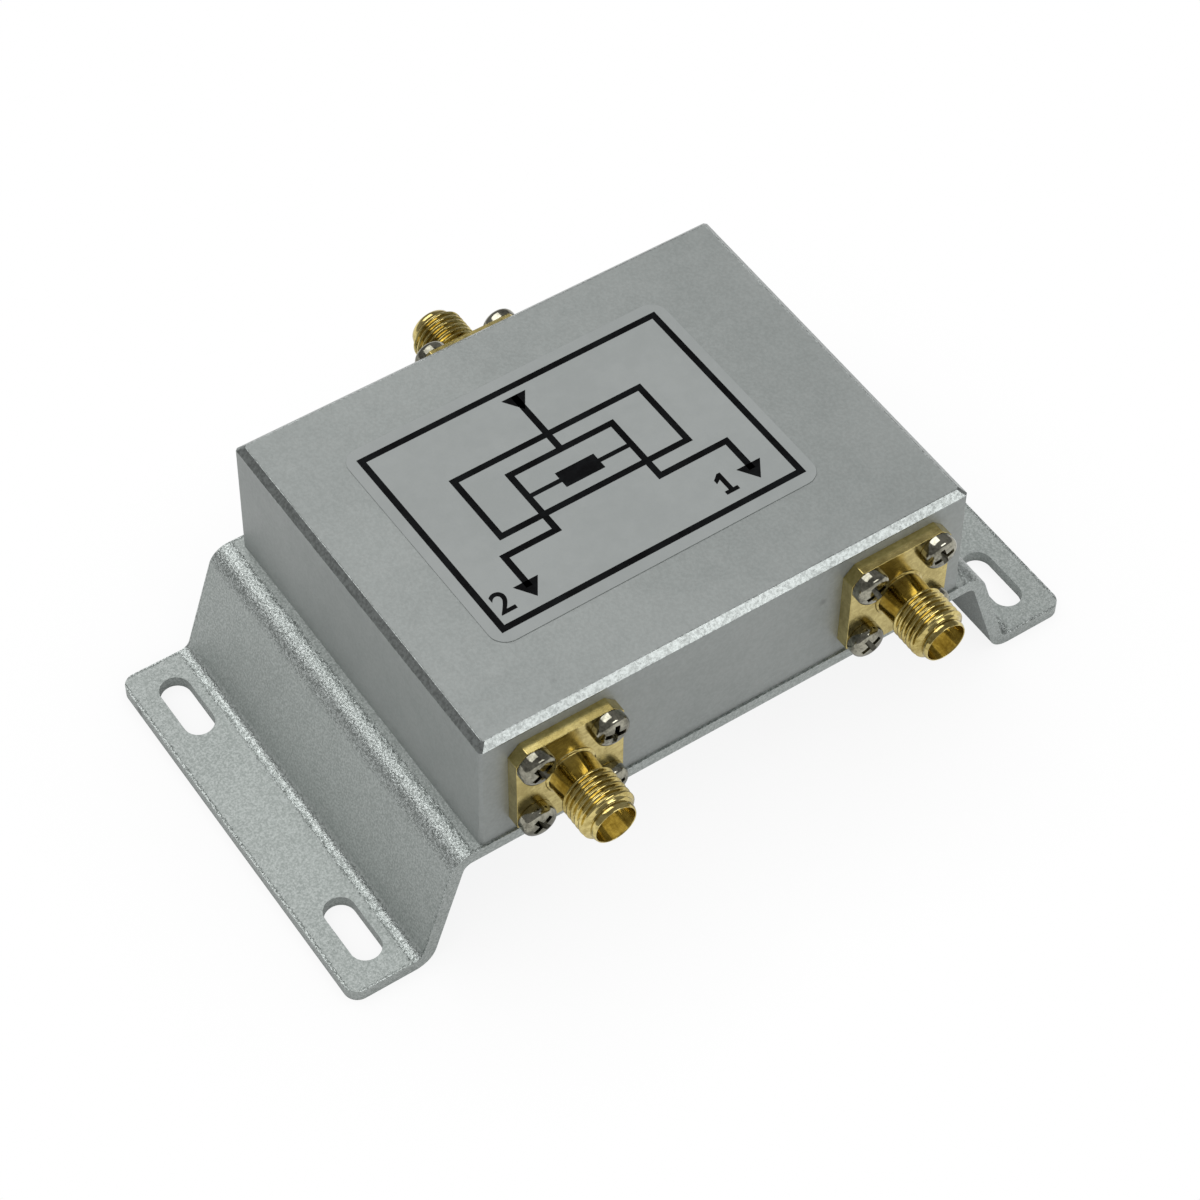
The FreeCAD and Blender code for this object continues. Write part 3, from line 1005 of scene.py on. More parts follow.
@dataclass
class Housing:
    """Drafted aluminium box, open below, with broken edges made brighter partly by painted highlight."""

    half_length: float = 30.05
    half_depth: float = 23.5
    draft: float = 0.25
    top: float = 31.2
    bevel: float = 0.75
    edge: float = 0.12
    edge_angle: float = 20.0
    band_width: float = 0.10
    band_ragged: float = 0.3

    def bands(self, bench: NodeBench, place: NodeSocket) -> NodeSocket:
        """Mask of the coarse broken edge round the top, where the finish paints highlight flecks and shade
        pits.

        Args:
            bench: where to add the nodes.
            place: the Object coordinates.

        Returns:
            The mask.
        """
        x, y, z = bench.split(place)
        inner_x, inner_y = self.half_length - self.draft - self.bevel, self.half_depth - self.bevel
        side = bench.math("SUBTRACT", inner_x * MM, bench.math("ABSOLUTE", x))
        front = bench.math("SUBTRACT", inner_y * MM, bench.math("ABSOLUTE", y))
        low = bench.math("SUBTRACT", (self.top - self.bevel) * MM, z)
        gap = bench.math("MAXIMUM", low, bench.math("MINIMUM", side, front))
        width, ragged = self.band_width * MM, self.band_ragged * MM
        return bench.group(ragged_band, Vector=place, Distance=gap, Width=width, Ragged=ragged)["Mask"]

    def build(self) -> None:
        """Make the shell from the CAD shell, with its edges broken."""
        piece = merged_copy("housing", "housing_shell")
        soften(piece, self.edge, 2, self.edge_angle)
        # The broken edge gets painted highlight flecks and painted shade pits
        finish = BlastedAluminium(
            "blasted_housing", (0.345, 0.370, 0.359, 1.0), (0.386, 0.411, 0.399, 1.0), self.bands,
            roughness=(0.48, 0.33), metallic=(0.40, 1.0), grain_depth=(0.12, 0.22),
            mottle=0.15, glint_share=0.30, shade_pit_share=0.25,
        )
        finished(piece, finish.material(), "housing", "housing")


@dataclass
class Bracket:
    """Bent sheet with two slotted feet and a coarse grain on its bends, with painted highlight flecks and
    painted shade pits.
    """

    bend_x: float = 32.3
    bend_half: float = 1.3
    crease_x: float = 38.25
    crease_half: float = 0.55
    bend_ragged: float = 1.6
    tip_x: float = 46.1
    tip_half: float = 0.3
    tip_ragged: float = 0.9
    middle_y: float = 0.4
    half_depth: float = 24.2
    upward: Pair = (0.05, 0.25)
    rim_width: float = 0.22
    rim_ragged: float = 0.8
    edge: float = 0.16

    def bands(self, bench: NodeBench, place: NodeSocket) -> NodeSocket:
        """Mask of the stretched grain on top of the bends, in the crease, at the foot tips and at the rims
        of the sheet, where the finish paints highlight flecks and shade pits.

        Args:
            bench: where to add the nodes.
            place: the Object coordinates.

        Returns:
            The mask.
        """
        x, y, _ = bench.split(place)
        reach = bench.math("ABSOLUTE", x)
        across = bench.math("ABSOLUTE", bench.math("SUBTRACT", y, self.middle_y * MM))
        outward = bench.math("SUBTRACT", self.half_depth * MM, across)
        # Bands at the rims, bend, crease and tips, where the finish paints highlight flecks and shade pits
        bands = [(outward, self.rim_width, self.rim_ragged)]
        for middle, half, ragged in (
            (self.bend_x, self.bend_half, self.bend_ragged),
            (self.crease_x, self.crease_half, self.bend_ragged),
            (self.tip_x, self.tip_half, self.tip_ragged),
        ):
            gap = bench.math("ABSOLUTE", bench.math("SUBTRACT", reach, middle * MM))
            bands.append((gap, half, ragged))
        wear_and_glint_mask = 0.0
        for gap, half, ragged in bands:
            band = bench.group(ragged_band, Vector=place, Distance=gap, Width=half * MM, Ragged=ragged * MM)
            wear_and_glint_mask = bench.math("MAXIMUM", wear_and_glint_mask, band["Mask"])
        # Only faces that look up get the bands
        upward = bench.split(bench.add("ShaderNodeNewGeometry").outputs["Normal"])[2]
        return bench.math("MULTIPLY", wear_and_glint_mask, bench.spread(upward, *self.upward))

    def build(self) -> None:
        """Make the sheet from the CAD sheet, with its edges broken."""
        piece = merged_copy("mounting_bracket", "bent_bracket")
        soften(piece, self.edge, 3)
        finish = BlastedAluminium(
            "blasted_bracket", (0.372, 0.408, 0.390, 1.0), (0.410, 0.447, 0.428, 1.0), self.bands,
            roughness=(0.50, 0.29), metallic=(0.45, 0.85), grain_depth=(0.30, 0.70),
            mottle=0.44, glint_share=0.75, shade_pit_share=0.35, grain_scale=4300.0,
            wear_and_glint=(0.60, 0.64, 0.627, 1.0), crest=(0.82, 0.86, 0.84, 1.0),
        )
        finished(piece, finish.material(), "bracket", "mounting_bracket")


@dataclass
class Label:
    """Satin label with a printed frame, arrows, numerals and a dividing-line symbol."""

    centre_x: float = -1.6
    centre_y: float = 1.1
    turn: float = 0.6
    top: float = 31.3
    edge: float = 0.03
    ink: float = 0.015
    line: float = 0.75
    thin_line: float = 0.55
    frame_x: float = 18.375
    frame_y: float = 13.225
    middle: float = -0.4
    arrow: float = 1.5
    entry: Pair = (11.6, 12.0)
    divider_x: float = 11.6
    divider_y: Pair = (-3.2, 5.6)
    fork_y: float = 3.1
    inner_x: float = 6.4
    resistor_y: float = -0.4
    resistor_half: Pair = (2.4, 1.1)
    exits_x: Pair = (14.4, -13.2)
    exit_y: Triple = (-5.6, -9.4, -9.8)
    one_at: Pair = (11.0, -11.6)
    two_at: Pair = (-16.6, -11.7)
    two_height: float = 4.0
    two_weight: float = 0.06
    smooth: float = 30.0

    @staticmethod
    def path(width: float, *points: Pair) -> list[Box]:
        """Boxes of a printed line that runs through several points, along X or Y.

        Args:
            width: width of the line, in mm.
            points: its corners, in mm.

        Returns:
            One box for each straight run.
        """
        half = width / 2
        boxes = []
        for ends in zip(points, points[1:]):
            low, high = zip(*map(sorted, zip(*ends)))
            boxes.append((low[0] - half, low[1] - half, high[0] + half, high[1] + half))
        return boxes

    def outline(self, low: Pair, high: Pair) -> list[Box]:
        """Boxes of a printed rectangle between two corners."""
        return self.path(self.line, low, (high[0], low[1]), high, (low[0], high[1]), low)

    def arrowhead(self, x: float, y: float) -> Mesh:
        """Solid arrowhead that points towards -Y."""
        size = self.arrow
        return plate("arrow", [[(x - size, y), (x, y - 1.5 * size), (x + size, y)]], 2 * self.ink)

    def numeral_one(self) -> Mesh:
        """Plain numeral 1 with a flag and a foot.

        Returns:
            A closed mesh in the label's own frame.
        """
        x, y = self.one_at
        shape = (
            (-0.8, 0), (0.8, 0), (0.8, 0.5), (0.28, 0.5), (0.28, 2.9), (-0.12, 2.9), (-0.85, 2.3),
            (-0.85, 1.75), (-0.28, 2.1), (-0.28, 0.5), (-0.8, 0.5),
        )
        return plate("one", [[(x + right, y + up) for right, up in shape]], 2 * self.ink)

    def numeral_two(self) -> Mesh:
        """Plain numeral 2 in the built-in type.

        Returns:
            A closed mesh in the label's own frame.
        """
        curve = bpy.data.curves.new("numeral", "FONT")
        curve.body, curve.size, curve.align_x = "2", self.two_height * MM, "CENTER"
        curve.extrude, curve.offset = self.ink * MM, self.two_weight * MM
        holder = link("numeral", curve)
        mesh = evaluated(holder)
        bpy.data.objects.remove(holder)
        mesh.transform(shift(*self.two_at, self.ink))
        return mesh

    def marks(self) -> Object:
        """All printed shapes, flat in the label's own frame.

        Returns:
            The print as one object.
        """
        middle, fork = self.middle, (self.middle, self.fork_y)
        arrow_from, arrow_base = self.entry
        turn_y, arrow_y, line_end = self.exit_y
        boxes = self.outline((-self.frame_x, -self.frame_y), (self.frame_x, self.frame_y))
        boxes += self.path(self.line, (middle, arrow_from), fork)
        parts = [self.arrowhead(middle, arrow_base), self.numeral_one(), self.numeral_two()]
        for x in self.exits_x:
            parts.append(self.arrowhead(x, arrow_y))
            inside = middle + math.copysign(self.inner_x, x)
            boxes += self.path(
                self.line, fork, (inside, self.fork_y), (inside, turn_y), (x, turn_y), (x, line_end)
            )
        low, high = self.divider_y
        boxes += self.outline((middle - self.divider_x, low), (middle + self.divider_x, high))
        row, (half_x, half_y) = self.resistor_y, self.resistor_half
        boxes += self.path(self.thin_line, (middle - self.inner_x, row), (middle + self.inner_x, row))
        boxes.append((middle - half_x, row - half_y, middle + half_x, row + half_y))
        return joined("label_print", printed("lines", boxes, 2 * self.ink), *parts)

    def build(self) -> None:
        """Make the label and its print."""
        sheet = merged_copy("label", "label_sheet")
        soften(sheet, self.edge, 2)
        film = PlainStock(
            "label_film", (0.40, 0.425, 0.417, 1.0), (0.43, 0.455, 0.447, 1.0), 0.55, 90.0,
            grain_scale=4200.0, grain_depth=0.35, specular=0.2,
        )
        finished(sheet, film.material(), "label", "label")
        mark = self.marks()
        place = shift(self.centre_x, self.centre_y, self.top - self.ink)
        mark.data.transform(place @ Matrix.Rotation(math.radians(self.turn), 4, "Z"))
        closed_up(opened(mark.data), mark.data, SAME_POINT)
        smooth_by_angle(mark.data, self.smooth)
        ink = PlainStock(
            "print_ink", (0.003, 0.003, 0.0035, 1.0), (0.008, 0.009, 0.010, 1.0), 0.5, 300.0, specular=0.05
        )
        finished(mark, ink.material(), "label")


@dataclass
class Screw:
    """Cross-recess screw, drawn with its head on Z = 0."""

    head_radius: float
    head_height: float
    shank_radius: float
    length: float
    recess_reach: float
    recess_width: float
    recess_depth: float
    flat: bool = False
    cone_angle: float = 82.0
    side_share: float = 0.42
    dome_steps: int = 8
    edge: float = 0.08
    pitch: float = 0.45
    root_share: float = 0.84
    point: float = 0.3
    dome: Pair = (0.62, 0.75)
    recess_foot: Pair = (0.45, 0.55)
    recess_rise: float = 0.3
    recess_flare: float = 1.1
    smooth: float = 38.0
    sides: int = 64

    def head_rows(self) -> list[Pair]:
        """Profile from the crown's centre to the seat.

        Returns:
            (radius, height) pairs in mm.
        """
        radius, height = self.head_radius, self.head_height
        rows = [(0.0, height)]
        if self.flat:
            return rows + [(radius - self.edge, height), (radius, height - self.edge)]
        side, (round_out, round_up) = self.side_share * height, self.dome
        for step in range(1, self.dome_steps + 1):
            angle = step / self.dome_steps * math.pi / 2
            up = side + (height - side) * math.cos(angle) ** round_up
            rows.append((radius * math.sin(angle) ** round_out, up))
        return rows + [(radius, 0.06), (radius - 0.06, 0.0)]

    def cone_depth(self) -> float:
        """Depth of a countersunk head, in mm."""
        slope = math.tan(math.radians(self.cone_angle / 2))
        return (self.head_radius - self.shank_radius) / slope + self.edge

    def shank_rows(self) -> list[Pair]:
        """Profile from under the head to the tip, with plain rings for the thread.

        Returns:
            (radius, height) pairs in mm.
        """
        pitch, crest, root = self.pitch, self.shank_radius, self.shank_radius * self.root_share
        start = self.cone_depth() if self.flat else 0.0
        rows = [(crest, -start - 0.05)]
        for turn in range(int((self.length - start - 2 * pitch) / pitch)):
            z = -start - 0.4 - turn * pitch
            rows += [(root, z), (crest, z - pitch / 2)]
        return rows + [(root, self.point - self.length), (root * 0.7, -self.length), (0.0, -self.length)]

    def cross(self, work: BMesh, z: float, reach: float, width: float) -> list[BMVert]:
        """Add the corners of a cross.

        Args:
            work: where to add them.
            z: their height, in mm.
            reach: length of the cross's arms, in mm.
            width: their width, in mm.

        Returns:
            The corners in their order.
        """
        half = width / 2
        arm = (complex(reach, -half), complex(reach, half), complex(half, half))
        spots = [corner * 1j**turn for turn in range(4) for corner in arm]
        return [work.verts.new(mm(spot.real, spot.imag, z)) for spot in spots]

    def recess(self) -> Mesh:
        """Tapered cross that cuts the recess.

        Returns:
            A closed mesh.
        """
        work = bmesh.new()
        reach, width, height = self.recess_reach, self.recess_width, self.head_height
        short, thin = self.recess_foot
        bottom = self.cross(work, height - self.recess_depth, reach * short, width * thin)
        flare = self.recess_flare
        top = self.cross(work, height + self.recess_rise, reach * flare, width * flare)
        work.faces.new(bottom[::-1])
        work.faces.new(top)
        for here, corner in enumerate(top):
            after = (here + 1) % len(top)
            work.faces.new((bottom[here], bottom[after], top[after], corner))
        return closed_up(work, "recess")

    def build(self, name: str) -> Object:
        """Make one screw as a prototype that isn't itself a piece.

        Args:
            name: the prototype's name.

        Returns:
            The prototype; the caller removes it.
        """
        piece = link(name, lathed(name, self.head_rows() + self.shank_rows(), self.sides))
        cut_out(piece, self.recess())
        smooth_by_angle(piece.data, self.smooth)
        return piece


class Toolbox:
    """Trees, finishes and the screw that several sub-assemblies share."""

    def __init__(self) -> None:
        """Make them once."""
        self.thread = thread_tree()
        self.fasteners = fastener_tree()
        self.fingers = finger_tree()
        self.satin_gold = GoldPlate(
            "satin_gold", (0.46, 0.37, 0.13, 1.0), (0.72, 0.60, 0.25, 1.0), Gleam.SATIN
        ).material()
        self.bright_gold = GoldPlate(
            "polished_gold", (0.37, 0.28, 0.08, 1.0), (0.80, 0.665, 0.275, 1.0), Gleam.POLISHED
        ).material()
        self.nickel = BrightNickel(
            "bright_nickel", (0.16, 0.155, 0.122, 1.0), (0.44, 0.425, 0.345, 1.0)
        ).material()
        self.polymer = PlainStock(
            "white_fluoropolymer", (0.74, 0.73, 0.69, 1.0), (0.84, 0.83, 0.80, 1.0), 0.4, 200.0
        ).material()
        self.pan_screw = Screw(
            head_radius=2.0, head_height=1.6, shank_radius=1.09, length=5.0,
            recess_reach=1.35, recess_width=0.62, recess_depth=1.1,
        ).build("pan_screw")

    def screws(self, name: str, screw: Object, spread: Pair, seed: int, place: Matrix, *names: str) -> None:
        """Make four copies of a screw as one piece.

        Args:
            name: the piece's name.
            screw: the prototype.
            spread: distances between the screws, in mm.
            seed: seed of their turns.
            place: matrix to their place.
            names: the record's slot, and the CAD node that they replace.
        """
        wide, deep = spread
        mesh = self.fasteners.grown(
            name, Screw=screw, Spread_X=wide * MM, Spread_Y=deep * MM, Seed=seed, Material=self.nickel
        )
        mesh.transform(place)
        finished(link(name, mesh), self.nickel, *names)


@dataclass
class Jack:
    """Threaded coaxial jack with a square flange, a white bushing and a slit contact."""

    wall_y: float = 23.5
    axis_height: float = 22.7
    flange: float = 12.7
    thickness: float = 1.6
    corner_cut: float = 1.3
    hole_inset: float = 2.03
    hole_radius: float = 1.29
    edge: float = 0.12
    reach: float = 9.6
    neck_radius: float = 2.65
    seat_radius: float = 2.98
    thread_start: float = 4.45
    thread_end: float = 8.58
    crest_radius: float = 3.175
    root_radius: float = 2.74
    pitch: float = 0.7056
    thread_lead: float = -0.38
    thread_steps: int = 8
    groove_radius: float = 2.42
    nose_radius: float = 2.55
    rim_radius: float = 2.43
    mouth_radius: float = 2.3
    bore_radius: float = 2.07
    mouth_floor: float = 6.4
    pin_radius: float = 0.635
    socket_radius: float = 0.465
    socket_depth: float = 2.6
    slit: float = 0.16
    slit_floor: float = 4.6
    finger_steps: int = 8
    pin_start: float = -6.85
    wall: float = 4.25
    fit: float = 0.02
    smooth: float = 40.0
    thread_smooth: float = 82.0
    sides: int = 96
    bushing_sides: int = 64
    bore_sides: int = 48
    pin_sides: int = 32
    hole_sides: int = 24

    def flange_mesh(self) -> Object:
        """Square plate with cut corners, four screw holes and a bore.

        Returns:
            The flange, in the jack's own frame.
        """
        half = self.flange / 2
        cut, step = half - self.corner_cut, half - self.hole_inset
        corners = [(cut, -half), (half, -cut), (half, cut), (cut, half)]
        outline = corners + [(-x, y) for x, y in reversed(corners)]
        spots = [(sx * step, sy * step) for sx in SIGNS for sy in SIGNS]
        holes = [ring(self.hole_radius, self.hole_sides, *spot) for spot in spots]
        loops = [outline, ring(self.bore_radius, self.bore_sides)] + holes
        return link("flange", plate("flange", loops, self.thickness))

    def rear_rows(self) -> list[Pair]:
        """Barrel profile from inside the flange to the thread.

        Returns:
            (radius, height) pairs in mm.
        """
        neck, seat, flat = self.neck_radius, self.seat_radius, self.thickness
        return [
            (seat, flat - 0.4), (seat, flat + 0.07), (seat - 0.04, flat + 0.12), (neck + 0.08, flat + 0.13),
            (neck + 0.02, flat + 0.16), (neck, flat + 0.24), (neck, self.thread_start - 0.2),
            (self.root_radius, self.thread_start),
        ]

    def front_rows(self) -> list[Pair]:
        """Nose and mouth profile from the thread back down the bore.

        Returns:
            (radius, height) pairs in mm.
        """
        groove, nose, rim, mouth = self.groove_radius, self.nose_radius, self.rim_radius, self.mouth_radius
        end, reach, floor = self.thread_end, self.reach, self.mouth_floor
        return [
            (self.root_radius, end), (groove + 0.03, end + 0.07), (groove, end + 0.11), (groove, end + 0.2),
            (nose - 0.05, end + 0.24), (nose, end + 0.3), (nose, end + 0.66), (nose - 0.02, end + 0.72),
            (rim + 0.02, reach - 0.06), (rim - 0.02, reach - 0.01), (rim - 0.04, reach),
            (mouth + 0.05, reach), (mouth + 0.02, reach - 0.02), (mouth, reach - 0.06),
            (mouth, floor + 0.03), (mouth - 0.03, floor), (self.bore_radius, floor),
            (self.bore_radius, self.thickness - 0.4),
        ]

    def thread_rows(self) -> int:
        """Number of grid rows that the thread band needs."""
        turns = (self.thread_end - self.thread_start) / self.pitch + 1 - self.thread_lead
        return math.ceil(turns * self.thread_steps) + 1

    def barrel(self, thread: ShapeTree) -> Object:
        """Neck, thread, nose and mouth in one.

        Args:
            thread: the tree of the thread band.

        Returns:
            The barrel, in the jack's own frame.
        """
        length = self.thread_end - self.thread_start
        band = thread.grown(
            "thread", Root_Radius=self.root_radius * MM, Crest_Radius=self.crest_radius * MM,
            Pitch=self.pitch * MM, Start=self.thread_start * MM, Length=length * MM,
            Lead=self.thread_lead, Steps=float(self.thread_steps), Sides=self.sides, Rows=self.thread_rows(),
        )
        rear = lathed("rear", self.rear_rows(), self.sides)
        front = lathed("front", self.front_rows(), self.sides)
        closing = lathed("closing", [self.front_rows()[-1], self.rear_rows()[0]], self.sides)
        barrel = joined("barrel", rear, band, front, closing)
        closed_up(opened(barrel.data), barrel.data, THREAD_JOINT)
        smooth_by_angle(barrel.data, self.thread_smooth)
        return barrel

    def bushing(self) -> Object:
        """White sleeve from the mouth to the inside of the wall.

        Returns:
            The sleeve, in the jack's own frame.
        """
        outer, inner, top = self.bore_radius - self.fit, self.pin_radius + self.fit, self.mouth_floor
        rows = [
            (inner, -self.wall), (outer, -self.wall), (outer, top - 0.05), (outer - 0.05, top),
            (inner + 0.04, top), (inner, top - 0.04),
        ]
        bushing = link("bushing", lathed("bushing", rows, self.bushing_sides, closed=True))
        smooth_by_angle(bushing.data, self.smooth)
        return bushing

    def finger_line(self, work: BMesh, radius: float, height: float) -> list[BMVert]:
        """Add an arc of a spring finger.

        Args:
            work: where to add its points.
            radius: its radius, in mm.
            height: its height, in mm.

        Returns:
            The points in their order.
        """
        gap = math.asin(self.slit / 2 / radius)
        span = math.pi / 2 - 2 * gap
        angles = [gap + span * step / self.finger_steps for step in range(self.finger_steps + 1)]
        return [work.verts.new(mm(radius * math.cos(a), radius * math.sin(a), height)) for a in angles]

    def finger(self) -> Mesh:
        """One spring finger: a sector of the socket wall, bent slightly inwards.

        Returns:
            A closed mesh.
        """
        work = bmesh.new()
        grid = []
        for height, outer in (
            (self.slit_floor, self.pin_radius),
            (self.mouth_floor - 0.12, self.pin_radius - 0.018),
            (self.mouth_floor, self.pin_radius - 0.042),
        ):
            grid.append([self.finger_line(work, radius, height) for radius in (self.socket_radius, outer)])
        strips = [(low[side], high[side]) for low, high in zip(grid, grid[1:]) for side in (0, 1)]
        strips += [tuple(grid[0]), tuple(grid[-1])]
        for first, second in strips:
            for corners in zip(first, first[1:], second[1:], second):
                work.faces.new(corners)
        for low, high in zip(grid, grid[1:]):
            for end in (0, -1):
                work.faces.new((low[0][end], low[1][end], high[1][end], high[0][end]))
        return closed_up(work, "finger")

    def contact(self, tools: Toolbox) -> Object:
        """Centre pin with four spring fingers.

        Args:
            tools: has the tree that repeats the finger.

        Returns:
            The contact, in the jack's own frame.
        """
        prototype = link("finger", self.finger())
        crown = tools.fingers.grown("crown", Finger=prototype, Count=4, Material=tools.bright_gold)
        bpy.data.objects.remove(prototype)
        pin, start, floor = self.pin_radius, self.pin_start, self.mouth_floor - self.socket_depth
        rows = [
            (0.0, start), (pin - 0.08, start), (pin, start + 0.08), (pin, self.slit_floor),
            (self.socket_radius, self.slit_floor), (self.socket_radius, floor), (0.0, floor - 0.25),
        ]
        contact = joined("pin", lathed("stem", rows, self.pin_sides), crown)
        smooth_by_angle(contact.data, self.smooth)
        return contact

    def build(self, port: Port, tools: Toolbox) -> None:
        """Make every piece of one jack.

        Args:
            port: which jack.
            tools: what the jacks share.
        """
        place = port.placing(self.wall_y, self.axis_height)
        flange = self.flange_mesh()
        soften(flange, self.edge, 3)
        for piece, name, material, slot, node in (
            (flange, "_flange", tools.satin_gold, "jack_body", "_body"),
            (self.barrel(tools.thread), "_barrel", tools.bright_gold, "jack_body", "_body"),
            (self.bushing(), "_bushing", tools.polymer, "jack_insulator", "_insulator"),
            (self.contact(tools), "_pin", tools.bright_gold, "jack_contact", "_contact"),
        ):
            piece.name = port.label + name
            piece.data.transform(place)
            finished(piece, material, slot, port.label + node)
        spread = self.flange - 2 * self.hole_inset
        seat = place @ shift(0, 0, self.thickness)
        name, node = port.label + "_screws", port.label + "_flange_screws"
        tools.screws(name, tools.pan_screw, (spread, spread), port.seed, seat, "flange_screw", node)


@dataclass
class CoverScrews:
    """Countersunk screws that hold the box down on the bracket."""

    spread_x: float = 54.05
    spread_y: float = 35.2
    under: float = 13.7
    seed: int = 3

    def build(self, tools: Toolbox) -> None:
        """Make the four screws, heads down.

        Args:
            tools: what the sub-assemblies share.
        """
        screw = Screw(
            head_radius=2.72, head_height=0.0, shank_radius=1.42, length=6.5,
            recess_reach=1.5, recess_width=0.55, recess_depth=1.0, flat=True,
        ).build("flat_screw")
        place = shift(0, 0, self.under) @ Matrix.Rotation(math.pi, 4, "X")
        spread = (self.spread_x, self.spread_y)
        tools.screws("cover_screw_set", screw, spread, self.seed, place, "cover_screw", "cover_screws")
        bpy.data.objects.remove(screw)


class InnerBoard:
    """Finishes of the circuit board and what stands on it, inside the housing."""

    def dress(self, tools: Toolbox) -> None:
        """Give each hidden CAD node its own finish.

        Args:
            tools: what the sub-assemblies share.
        """
        laminate = PlainStock(
            "green_laminate", (0.015, 0.085, 0.03, 1.0), (0.03, 0.15, 0.055, 1.0), 0.35, 150.0
        )
        copper = PlainStock(
            "copper_foil", (0.55, 0.27, 0.15, 1.0), (0.75, 0.42, 0.26, 1.0), 0.3, 250.0, 6000.0, 0.1, 1.0
        )
        solder = PlainStock(
            "tin_solder", (0.42, 0.42, 0.42, 1.0), (0.62, 0.62, 0.63, 1.0), 0.22, 500.0, 3000.0, 0.3, 1.0
        )
        glaze = PlainStock("chip_glaze", (0.01, 0.01, 0.012, 1.0), (0.03, 0.03, 0.034, 1.0), 0.25, 700.0)
        for stock, nodes in (
            (laminate, ["circuit_board"]),
            (copper, ["ground_plane", "trace_pattern"]),
            (solder, [port.label + "_solder" for port in Port]),
            (glaze, [f"isolation_resistor_{number}" for number in (1, 2, 3)]),
        ):
            self.coat(stock.material(), *nodes)
        self.coat(tools.nickel, "board_screws")

    @staticmethod
    def coat(material: Material, *nodes: str) -> None:
        """Set the only material of some CAD nodes.

        Args:
            material: the material.
            nodes: names of the nodes.
        """
        for node in nodes:
            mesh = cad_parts[node].data
            mesh.materials.clear()
            mesh.materials.append(material)
            LOG.info("%s: dressed", node)


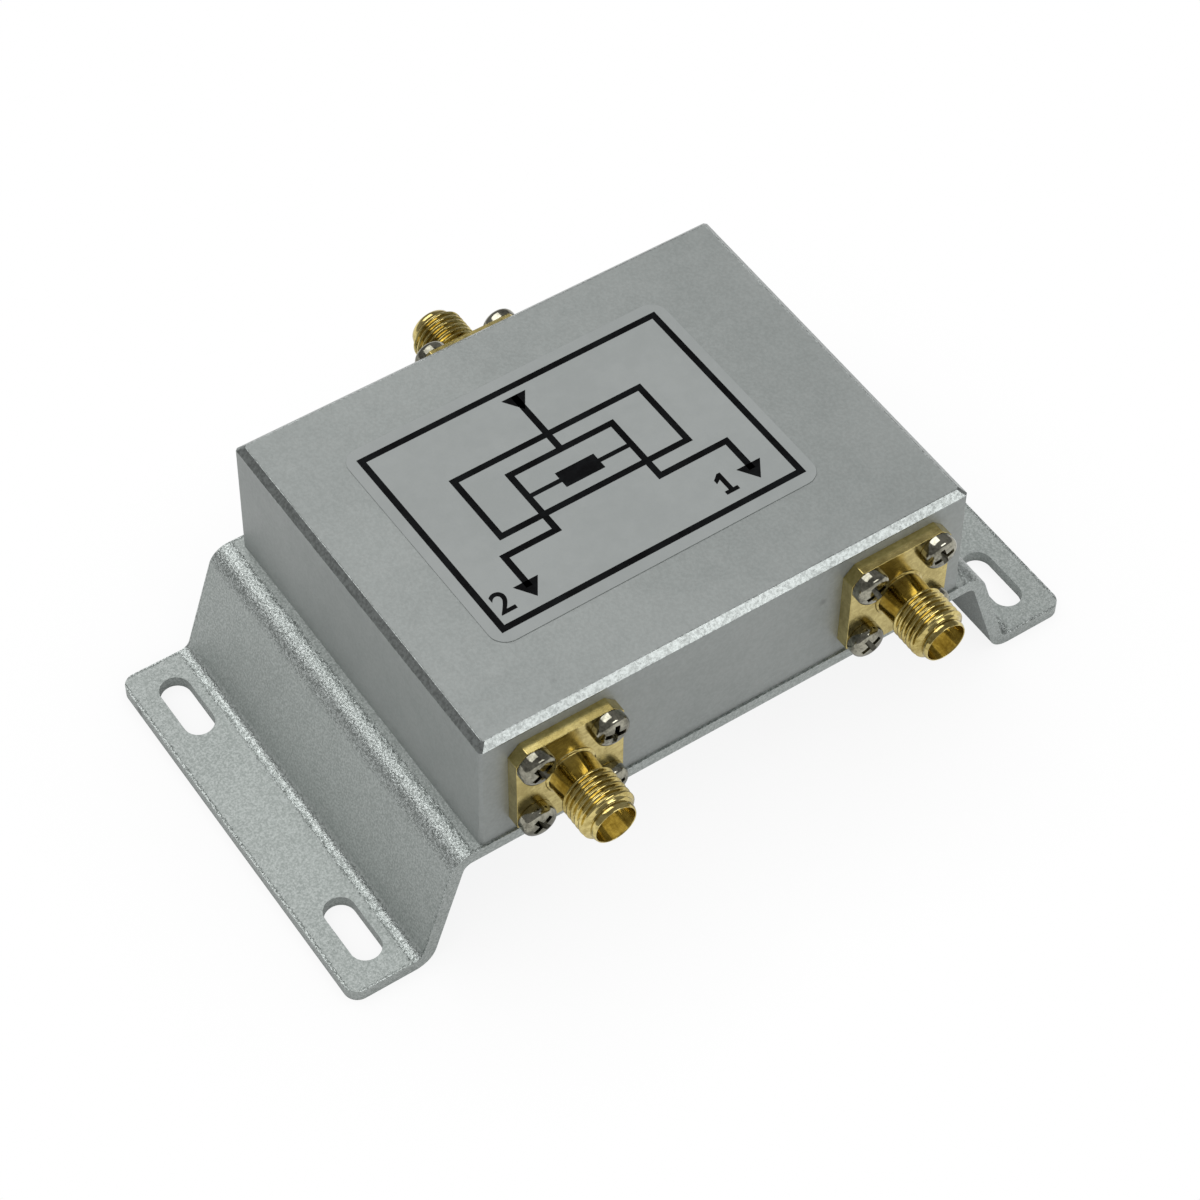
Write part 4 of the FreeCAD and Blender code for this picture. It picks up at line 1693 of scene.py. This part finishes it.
@dataclass
class Studio:
    """Floor, soft lights, world and camera; in metres."""

    camera_at: Triple = (-0.12940068, -0.18853804, 0.29667822)
    camera_aim: Triple = (-0.00246693, -0.00387811, 0.015)
    camera_roll: float = 0.68571
    lens: float = 102.085
    sensor: float = 36.0
    clip: Pair = (0.01, 20.0)
    light_aim: Triple = (0.0, 0.0, 0.02)
    world: float = 0.42
    gloss_world: float = 0.24
    floor_half: float = 3.0
    floor_lift: float = 0.00001
    floor_level: float = 0.72
    backdrop: float = 1.0
    gloss: float = 0.85
    # Share of the floor's glow that ambient occlusion takes away: painted shadow, and painted shade in
    # reflections
    shadow: float = 0.13
    gloss_shadow: float = 0.9
    shadow_reach: float = 0.03
    shadow_samples: int = 8

    def build(self) -> None:
        """Make the whole studio."""
        self.make_camera()
        self.make_world()
        self.make_floor()
        self.make_light("overhead", (-0.16, 0.78, 1.28), 1.25, 0.95, 8.9)
        self.make_light("front_key", (0.50, -1.07, 0.72), 0.62, 0.45, 2.7)

    def make_camera(self) -> None:
        """Camera at the photograph's viewing angle."""
        data = bpy.data.cameras.new("camera")
        data.sensor_width, data.lens = self.sensor, self.lens
        data.clip_start, data.clip_end = self.clip
        camera = link("camera", data)
        position = Vector(self.camera_at)
        ahead = (Vector(self.camera_aim) - position).normalized()
        side = ahead.cross(Vector((0, 0, 1))).normalized()
        up = side.cross(ahead)
        roll = math.radians(self.camera_roll)
        right = side * math.cos(roll) + up * math.sin(roll)
        top = up * math.cos(roll) - side * math.sin(roll)
        turn = Matrix((right, top, -ahead)).transposed().to_4x4()
        camera.matrix_world = Matrix.Translation(position) @ turn
        bpy.context.scene.camera = camera

    def make_world(self) -> None:
        """Even pale surroundings that the camera sees as white and metal sees darker."""
        world = bpy.data.worlds.new("studio_world")
        world.use_nodes = True
        bench = NodeBench(world.node_tree)
        path = bench.add("ShaderNodeLightPath").outputs
        level = self.world
        for ray, strength in (("Is Camera Ray", 1.0), ("Is Glossy Ray", self.gloss_world)):
            level = bench.math("MULTIPLY_ADD", path[ray], strength - self.world, level)
        bench.fill(world.node_tree.nodes["Background"], Strength=level, Color=grey(1.0))
        bpy.context.scene.world = world

    def make_floor(self) -> None:
        """Plain white floor, clear from below, whose glow is darkened by ambient occlusion: a painted shadow
        for the camera and painted shade in what metal reflects.
        """
        half, low = self.floor_half, self.floor_lift
        corners = [(-half, -half, low), (half, -half, low), (half, half, low), (-half, half, low)]
        mesh = bpy.data.meshes.new("floor")
        mesh.from_pydata(corners, [], [(0, 1, 2, 3)])
        floor = link("floor", mesh)
        material, bench, shader = new_material("white_floor")
        bench.fill(shader, Base_Color=grey(self.floor_level), Roughness=0.9, Specular_IOR_Level=0.1)
        path = bench.add("ShaderNodeLightPath").outputs
        camera = path["Is Camera Ray"]
        mirrored = bench.math("MAXIMUM", path["Is Glossy Ray"], path["Is Transmission Ray"])
        # Painted shadow: ambient occlusion darkens the floor's glow near the part
        sky = bench.add(
            "ShaderNodeAmbientOcclusion", {"samples": self.shadow_samples}, Distance=self.shadow_reach
        )
        closed = bench.math("SUBTRACT", 1.0, sky.outputs["AO"])
        level = 0.0
        for rays, white, shadow in (
            (camera, self.backdrop, self.shadow),
            (mirrored, self.gloss, self.gloss_shadow),
        ):
            seen = bench.math("MULTIPLY_ADD", closed, -white * shadow, white)
            level = bench.math("MULTIPLY_ADD", rays, seen, level)
        glow = bench.get("ShaderNodeEmission", Color=grey(1.0), Strength=level)
        seen = bench.math("MAXIMUM", camera, mirrored)
        above = bench.row("ShaderNodeMixShader", {}, seen, shader.outputs[0], glow)
        behind = bench.add("ShaderNodeNewGeometry").outputs["Backfacing"]
        clear = bench.get("ShaderNodeBsdfTransparent")
        surface = bench.row("ShaderNodeMixShader", {}, behind, above, clear)
        bench.fill(material.node_tree.nodes["Material Output"], Surface=surface)
        mesh.materials.append(material)

    def make_light(self, name: str, at: Sequence[float], wide: float, deep: float, power: float) -> None:
        """Rectangular soft light aimed at the part.

        Args:
            name: the light's name.
            at: its place, in metres.
            wide: its width, in metres.
            deep: its other side, in metres.
            power: its power, in watts.
        """
        data = bpy.data.lights.new(name, "AREA")
        data.shape, data.energy = "RECTANGLE", power
        data.size, data.size_y = wide, deep
        lamp = link(name, data)
        lamp.location = at
        aim = Vector(self.light_aim) - Vector(at)
        lamp.rotation_euler = aim.to_track_quat("-Z", "Y").to_euler()


def main() -> None:
    """Build the part and the studio around it."""
    logging.basicConfig(level=logging.INFO, format="%(name)s: %(message)s")
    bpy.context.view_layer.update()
    Studio().build()
    tools = Toolbox()
    Housing().build()
    Bracket().build()
    Label().build()
    for port in Port:
        Jack().build(port, tools)
    CoverScrews().build(tools)
    InnerBoard().dress(tools)
    bpy.data.objects.remove(tools.pan_screw)
    bpy.context.scene.view_settings.view_transform = "Standard"


if __name__ == "__main__":
    main()
